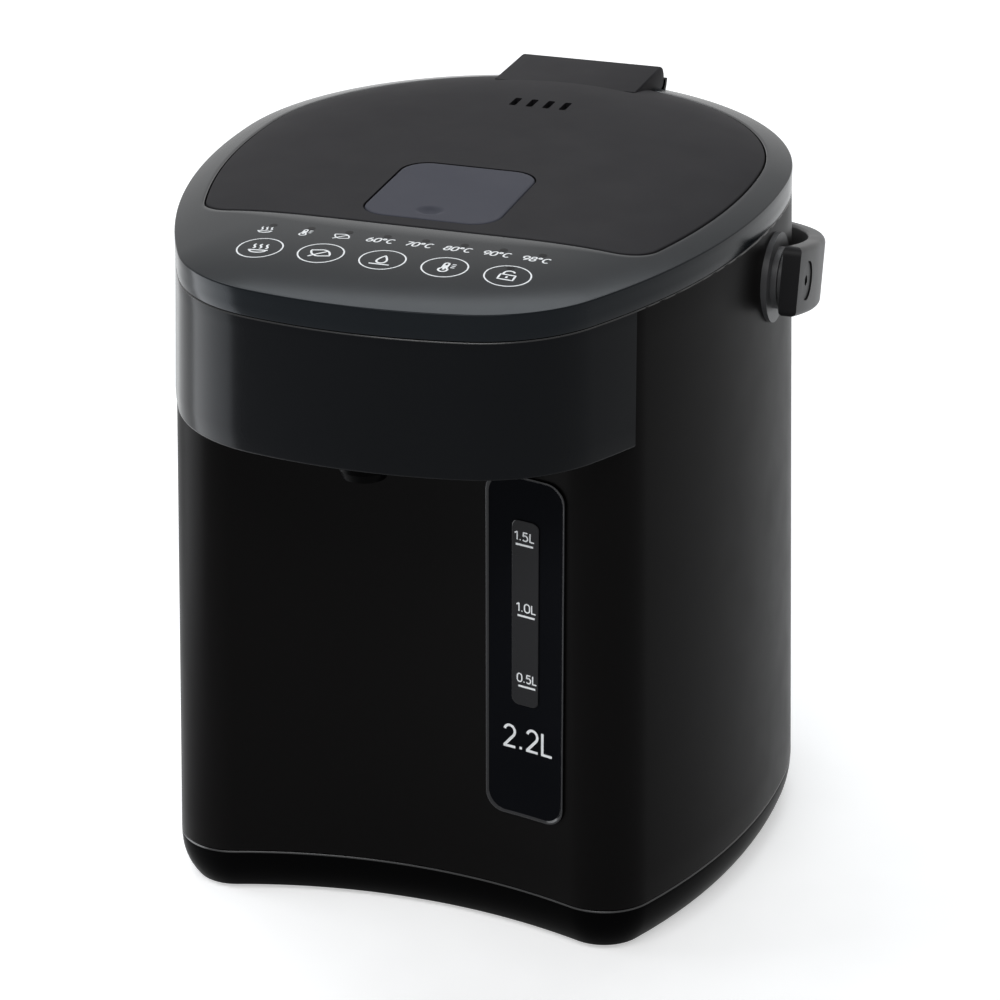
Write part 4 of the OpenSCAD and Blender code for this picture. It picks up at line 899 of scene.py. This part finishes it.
def decal(name, shapes, place, centre, mat=PRINT, slot_name="cover_black"):
    """Flat shapes of ink, laid on a surface."""
    verts, faces, start = [], [], 0
    for pts, polys in shapes:
        verts.append(place(pts + centre))
        faces += [tuple(start + i for i in f) for f in polys]
        start += len(pts)
    mesh = bpy.data.meshes.new(name)
    mesh.from_pydata([tuple(v) for v in np.vstack(verts) * MM], [], faces)
    obj = bpy.data.objects.new(name, mesh)
    bpy.context.scene.collection.objects.link(obj)
    dress(obj, mat, "pot", slot_name, angle=None)


def scaled(mark, by):
    return [(pts * by, faces) for pts, faces in mark]


def oval(cx, cy, rx, ry, a0, a1, n=16):
    t = np.radians(np.linspace(a0, a1, n + 1))
    return np.column_stack([cx + rx * np.cos(t), cy + ry * np.sin(t)])


def ring(*values):
    return oval(*values, 0, 360, 20)


def wave(x, y0, y1, a=0.35, n=14):
    t = np.linspace(0, 1, n + 1)
    return np.column_stack([x + a * np.sin(t * 2 * math.pi), y0 + (y1 - y0) * t])


# the pictograms, about 6 mm across: boiling, saving, pouring, keeping warm and the key lock
boil = [ribbon(wave(x, -0.6, 2.4), INK) for x in (-1.9, 0, 1.9)]
boil += [ribbon([(-3, -1.6), (3, -1.6)], INK), ribbon(oval(0, -1.9, 2.4, 1.3, 180, 360), INK)]
leaf = [ribbon(np.vstack([oval(0, -2.2, 3.1, 4.4, 10, 90, 10),
                          oval(-0.2, 2.2, 3.1, 4.4, 190, 270, 10)]), INK, True),
        ribbon([(-2.9, -2.9), (-1, -1), (1.6, 1.5)], INK)]
t = np.linspace(0, 2 * math.pi, 33)[:-1]
drop = [ribbon(np.column_stack([1.9 * np.sin(t) * np.sin(t / 2) ** 1.2, 2.6 * np.cos(t) + 0.2]),
               INK, True),
        ribbon([(-3, -3.2), (3, -3.2)], INK)]
heat = [ribbon(np.vstack([oval(0, -1.8, 1.3, 1.3, 120, 420, 20),
                          oval(0, 2.2, 0.65, 0.65, 0, 180, 8)]), INK, True),
        ribbon([(0, -1.8), (0, 1.2)], INK * 1.1)]
heat += [ribbon([(1.6, y), (2.8, y)], INK * 0.8) for y in (0, 1.1, 2.2)]
lock = [ribbon(dense(np.array([(-2.2, -2.6), (2.2, -2.6), (2.2, 0.5), (-2.2, 0.5)]), 1),
               INK, True),
        ribbon(np.vstack([[(-1.5, 0.5), (-1.5, 1.4)], oval(0, 1.6, 1.5, 1.5, 180, 20, 12)]), INK),
        ribbon([(0, -1.6), (0, -0.5)], INK)]

# the figures: how far each moves the next one on, and its strokes, for a height of 1
STROKES = {
    "0": (0.6, [np.vstack([oval(0.26, 0.68, 0.22, 0.32, 0, 180, 10),
                           oval(0.26, 0.32, 0.22, 0.32, 180, 360, 10), [(0.48, 0.68)]])]),
    "1": (0.42, [[(0.04, 0.78), (0.24, 0.98)], [(0.25, 1.0), (0.25, 0.0)]]),
    "2": (0.57, [np.vstack([oval(0.25, 0.73, 0.19, 0.27, 165, -38, 14), [(0.05, 0.03)]]),
                 [(0.02, 0.03), (0.46, 0.03)]]),
    "5": (0.6, [[(0.44, 0.97), (0.08, 0.97)], [(0.1, 1.0), (0.07, 0.52)],
                oval(0.24, 0.32, 0.22, 0.32, 140, -145, 16)]),
    "6": (0.6, [ring(0.26, 0.3, 0.22, 0.3), oval(0.5, 0.32, 0.46, 0.68, 112, 180, 8)]),
    "7": (0.54, [[(0.02, 0.97), (0.46, 0.97)], [(0.45, 1.0), (0.16, 0.0)]]),
    "8": (0.6, [ring(0.26, 0.75, 0.18, 0.25), ring(0.26, 0.27, 0.22, 0.27)]),
    "9": (0.6, [ring(0.26, 0.7, 0.22, 0.3), oval(0.02, 0.68, 0.46, 0.68, -68, 0, 8)]),
    "°": (0.44, [ring(0.13, 0.84, 0.11, 0.14)]),
    "C": (0.6, [oval(0.32, 0.5, 0.28, 0.5, 48, 312, 18)]),
    ".": (0.27, [[(0.09, 0.0), (0.09, 0.12)]]),
    "L": (0.5, [[(0.06, 1.0), (0.06, 0.0)], [(0.02, 0.03), (0.42, 0.03)]]),
}


def strokes(words, width, height, pen, shear=0.0):
    """Plain drawn figures, fitted to a width and a height."""
    paths, at = [], 0.0
    for letter in words:
        step, drawn = STROKES[letter]
        paths += [np.asarray(path, float) + (at, 0) for path in drawn]
        at += step
    low, high = np.vstack(paths).min(0), np.vstack(paths).max(0)
    room = np.array([width - pen, height - pen])
    shapes = []
    for path in paths:
        closed = np.allclose(path[0], path[-1])
        q = ((path[:-1] if closed else path) - (low + high) / 2) * room / (high - low)
        shapes.append(ribbon(q + np.column_stack([shear * q[:, 1], 0 * q[:, 1]]), pen, closed))
    return shapes


KEY_X, KEY_Y, KEY_PITCH, KEY_R, KEY_PEN = -0.4, -118.2, 21.75, 7.75, 0.55
LED_Y, LED_PITCH = -102.4, 13.66
LED = [(disc(1.35, 32), [tuple(range(32))])]
for i, mark in enumerate((boil, leaf, drop, heat, lock)):
    where = (KEY_X + (i - 2) * KEY_PITCH, KEY_Y)
    decal(f"key_ring_{i + 1}", [ribbon(disc(KEY_R, 72), KEY_PEN, True)], place_crown, where)
    decal(f"key_mark_{i + 1}", scaled(mark, 1.18), place_crown, where)

labels = [scaled(mark, 0.9) for mark in (boil, heat, leaf)]
labels += [strokes(f"{number}°C", 9.6, 4.2, 0.64, 0.12) for number in (60, 70, 80, 90, 98)]
for i, shapes in enumerate(labels):
    x = (i - (len(labels) - 1) / 2) * LED_PITCH
    decal(f"label_{i + 1}", shapes, place_crown, (x, LED_Y))
    decal(f"led_{i + 1}", LED, place_crown, (x + 1.0, LED_Y + 4.2), LED_LENS)
decal("led_lock", LED, place_crown, (KEY_X + 2 * KEY_PITCH - 0.9, KEY_Y + 6.0), LED_LENS)

LINE_HALF, LINE_PEN, TEXT_OVER_LINE = 3.35, 0.75, 3.2
line = [ribbon([(x, 0) for x in np.linspace(-LINE_HALF, LINE_HALF, 6)], LINE_PEN)]
for name, x, z in (("1_5", -0.3, 152.4), ("1_0", 0.45, 125.8), ("0_5", 0.8, 99.0)):
    decal(f"gauge_text_{name}", strokes(name.replace("_", ".") + "L", 8.0, 3.6, 0.5),
          place_window, (GAUGE_X + x, z + TEXT_OVER_LINE), slot_name="band_black")
    decal(f"gauge_line_{name}", line, place_window, (GAUGE_X + x, z), slot_name="band_black")
decal("gauge_text_full", strokes("2.2L", 20.2, 9.4, 1.0),
      place_gauge, (GAUGE_X + 1.1, 78.4), slot_name="band_black")


# ---------------------------------------------------------------- camera and light

# the camera that was fitted to the photo: degrees, and millimetres
AZIMUTH, ELEVATION, DISTANCE, AIM = 18.46, 23.28, 1411.7, (1.01, 0, 120.35)
FOCAL, SENSOR = 137.07, 36


def camera():
    az, el = math.radians(AZIMUTH), math.radians(ELEVATION)
    back = Vector((math.sin(az) * math.cos(el), -math.cos(az) * math.cos(el), math.sin(el)))
    cam = bpy.data.cameras.new("camera")
    cam.sensor_width, cam.lens, cam.clip_start, cam.clip_end = SENSOR, FOCAL, 0.05, 50
    obj = bpy.data.objects.new("camera", cam)
    obj.location = (Vector(AIM) + back * DISTANCE) * MM
    obj.rotation_euler = back.to_track_quat("Z", "Y").to_euler()
    bpy.context.scene.collection.objects.link(obj)
    bpy.context.scene.camera = obj
    bpy.context.scene.view_settings.view_transform = "Standard"


def lamp(name, where, target, size, power, color=(1, 1, 1)):
    """A soft lamp. Places and sizes are in metres here."""
    data = bpy.data.lights.new(name, "AREA")
    data.shape, data.size, data.size_y = "RECTANGLE", *size
    data.energy, data.color = power, color
    obj = bpy.data.objects.new(name, data)
    obj.location = where
    obj.rotation_euler = (Vector(where) - Vector(target)).to_track_quat("Z", "Y").to_euler()
    bpy.context.scene.collection.objects.link(obj)


def seen_rays(tree):
    """1 for the rays that show the background: to the camera, by gloss or through glass."""
    path = tree.nodes.new("ShaderNodeLightPath")
    fac = path.outputs["Is Camera Ray"]
    for ray in ("Is Glossy Ray", "Is Transmission Ray"):
        either = tree.nodes.new("ShaderNodeMath")
        either.operation = "MAXIMUM"
        tree.links.new(fac, either.inputs[0])
        tree.links.new(path.outputs[ray], either.inputs[1])
        fac = either.outputs["Value"]
    return fac


def pick(tree, a, b):
    """Shader a, or shader b for the rays that show the background."""
    mix = tree.nodes.new("ShaderNodeMixShader")
    for socket, link in zip(mix.inputs, (seen_rays(tree), a, b)):
        tree.links.new(link, socket)
    return mix.outputs["Shader"]


camera()
world = bpy.data.worlds.new("studio")
bpy.context.scene.world = world
world.use_nodes = True
tree = world.node_tree
dim = tree.nodes["Background"]
dim.inputs["Color"].default_value = (0.9, 0.95, 1.0, 1)
dim.inputs["Strength"].default_value = 0.14
seen = tree.nodes.new("ShaderNodeBackground")
seen.inputs["Color"].default_value = (1, 1, 1, 1)
tree.links.new(pick(tree, dim.outputs["Background"], seen.outputs["Background"]),
               tree.nodes["World Output"].inputs["Surface"])

# The floor is lit plainly. The rays that show the background see it lifted towards white, more
# so far off, where the lamps fade, and with the object's shadow on it.
FLOOR_HALF = 3
corners = [(-FLOOR_HALF, -FLOOR_HALF, 0), (FLOOR_HALF, -FLOOR_HALF, 0),
           (FLOOR_HALF, FLOOR_HALF, 0), (-FLOOR_HALF, FLOOR_HALF, 0)]
floor_mesh = bpy.data.meshes.new("floor")
floor_mesh.from_pydata(corners, [], [(0, 1, 2, 3)])
floor = bpy.data.objects.new("floor", floor_mesh)
bpy.context.scene.collection.objects.link(floor)
mat, tree, b = principled("floor_white", (0.82, 0.82, 0.82), 0.7)
tree.links.new(tint(tree, noise(tree, 40, 3), (0.8, 0.8, 0.8), (0.84, 0.84, 0.84)),
               b.inputs["Base Color"])
lift = tree.nodes.new("ShaderNodeEmission")
coord, far = tree.nodes.new("ShaderNodeTexCoord"), tree.nodes.new("ShaderNodeVectorMath")
far.operation = "LENGTH"
tree.links.new(coord.outputs["Object"], far.inputs[0])
fade = tree.nodes.new("ShaderNodeMapRange")
for socket, value in (("From Min", 0.25), ("From Max", 1.6), ("To Min", 0.5), ("To Max", 0.9)):
    fade.inputs[socket].default_value = value
tree.links.new(far.outputs["Value"], fade.inputs["Value"])
tree.links.new(fade.outputs["Result"], lift.inputs["Strength"])
glow = tree.nodes.new("ShaderNodeAddShader")
tree.links.new(lift.outputs["Emission"], glow.inputs[0])
tree.links.new(b.outputs["BSDF"], glow.inputs[1])
tree.links.new(pick(tree, b.outputs["BSDF"], glow.outputs["Shader"]),
               tree.nodes["Material Output"].inputs["Surface"])
floor_mesh.materials.append(mat)

lamp("back_top", (-0.25, 0.53, 1.35), (0, -0.12, 0.25), (1.3, 0.74), 12, (0.93, 0.97, 1))
lamp("front_soft", (0.12, -0.95, 1.25), (0, 0, 0.15), (1.0, 0.5), 8)
lamp("left_soft", (-0.32, -0.17, 0.137), (-0.1, -0.08, 0.137), (0.24, 0.26), 0.75, (0.95, 0.97, 1))
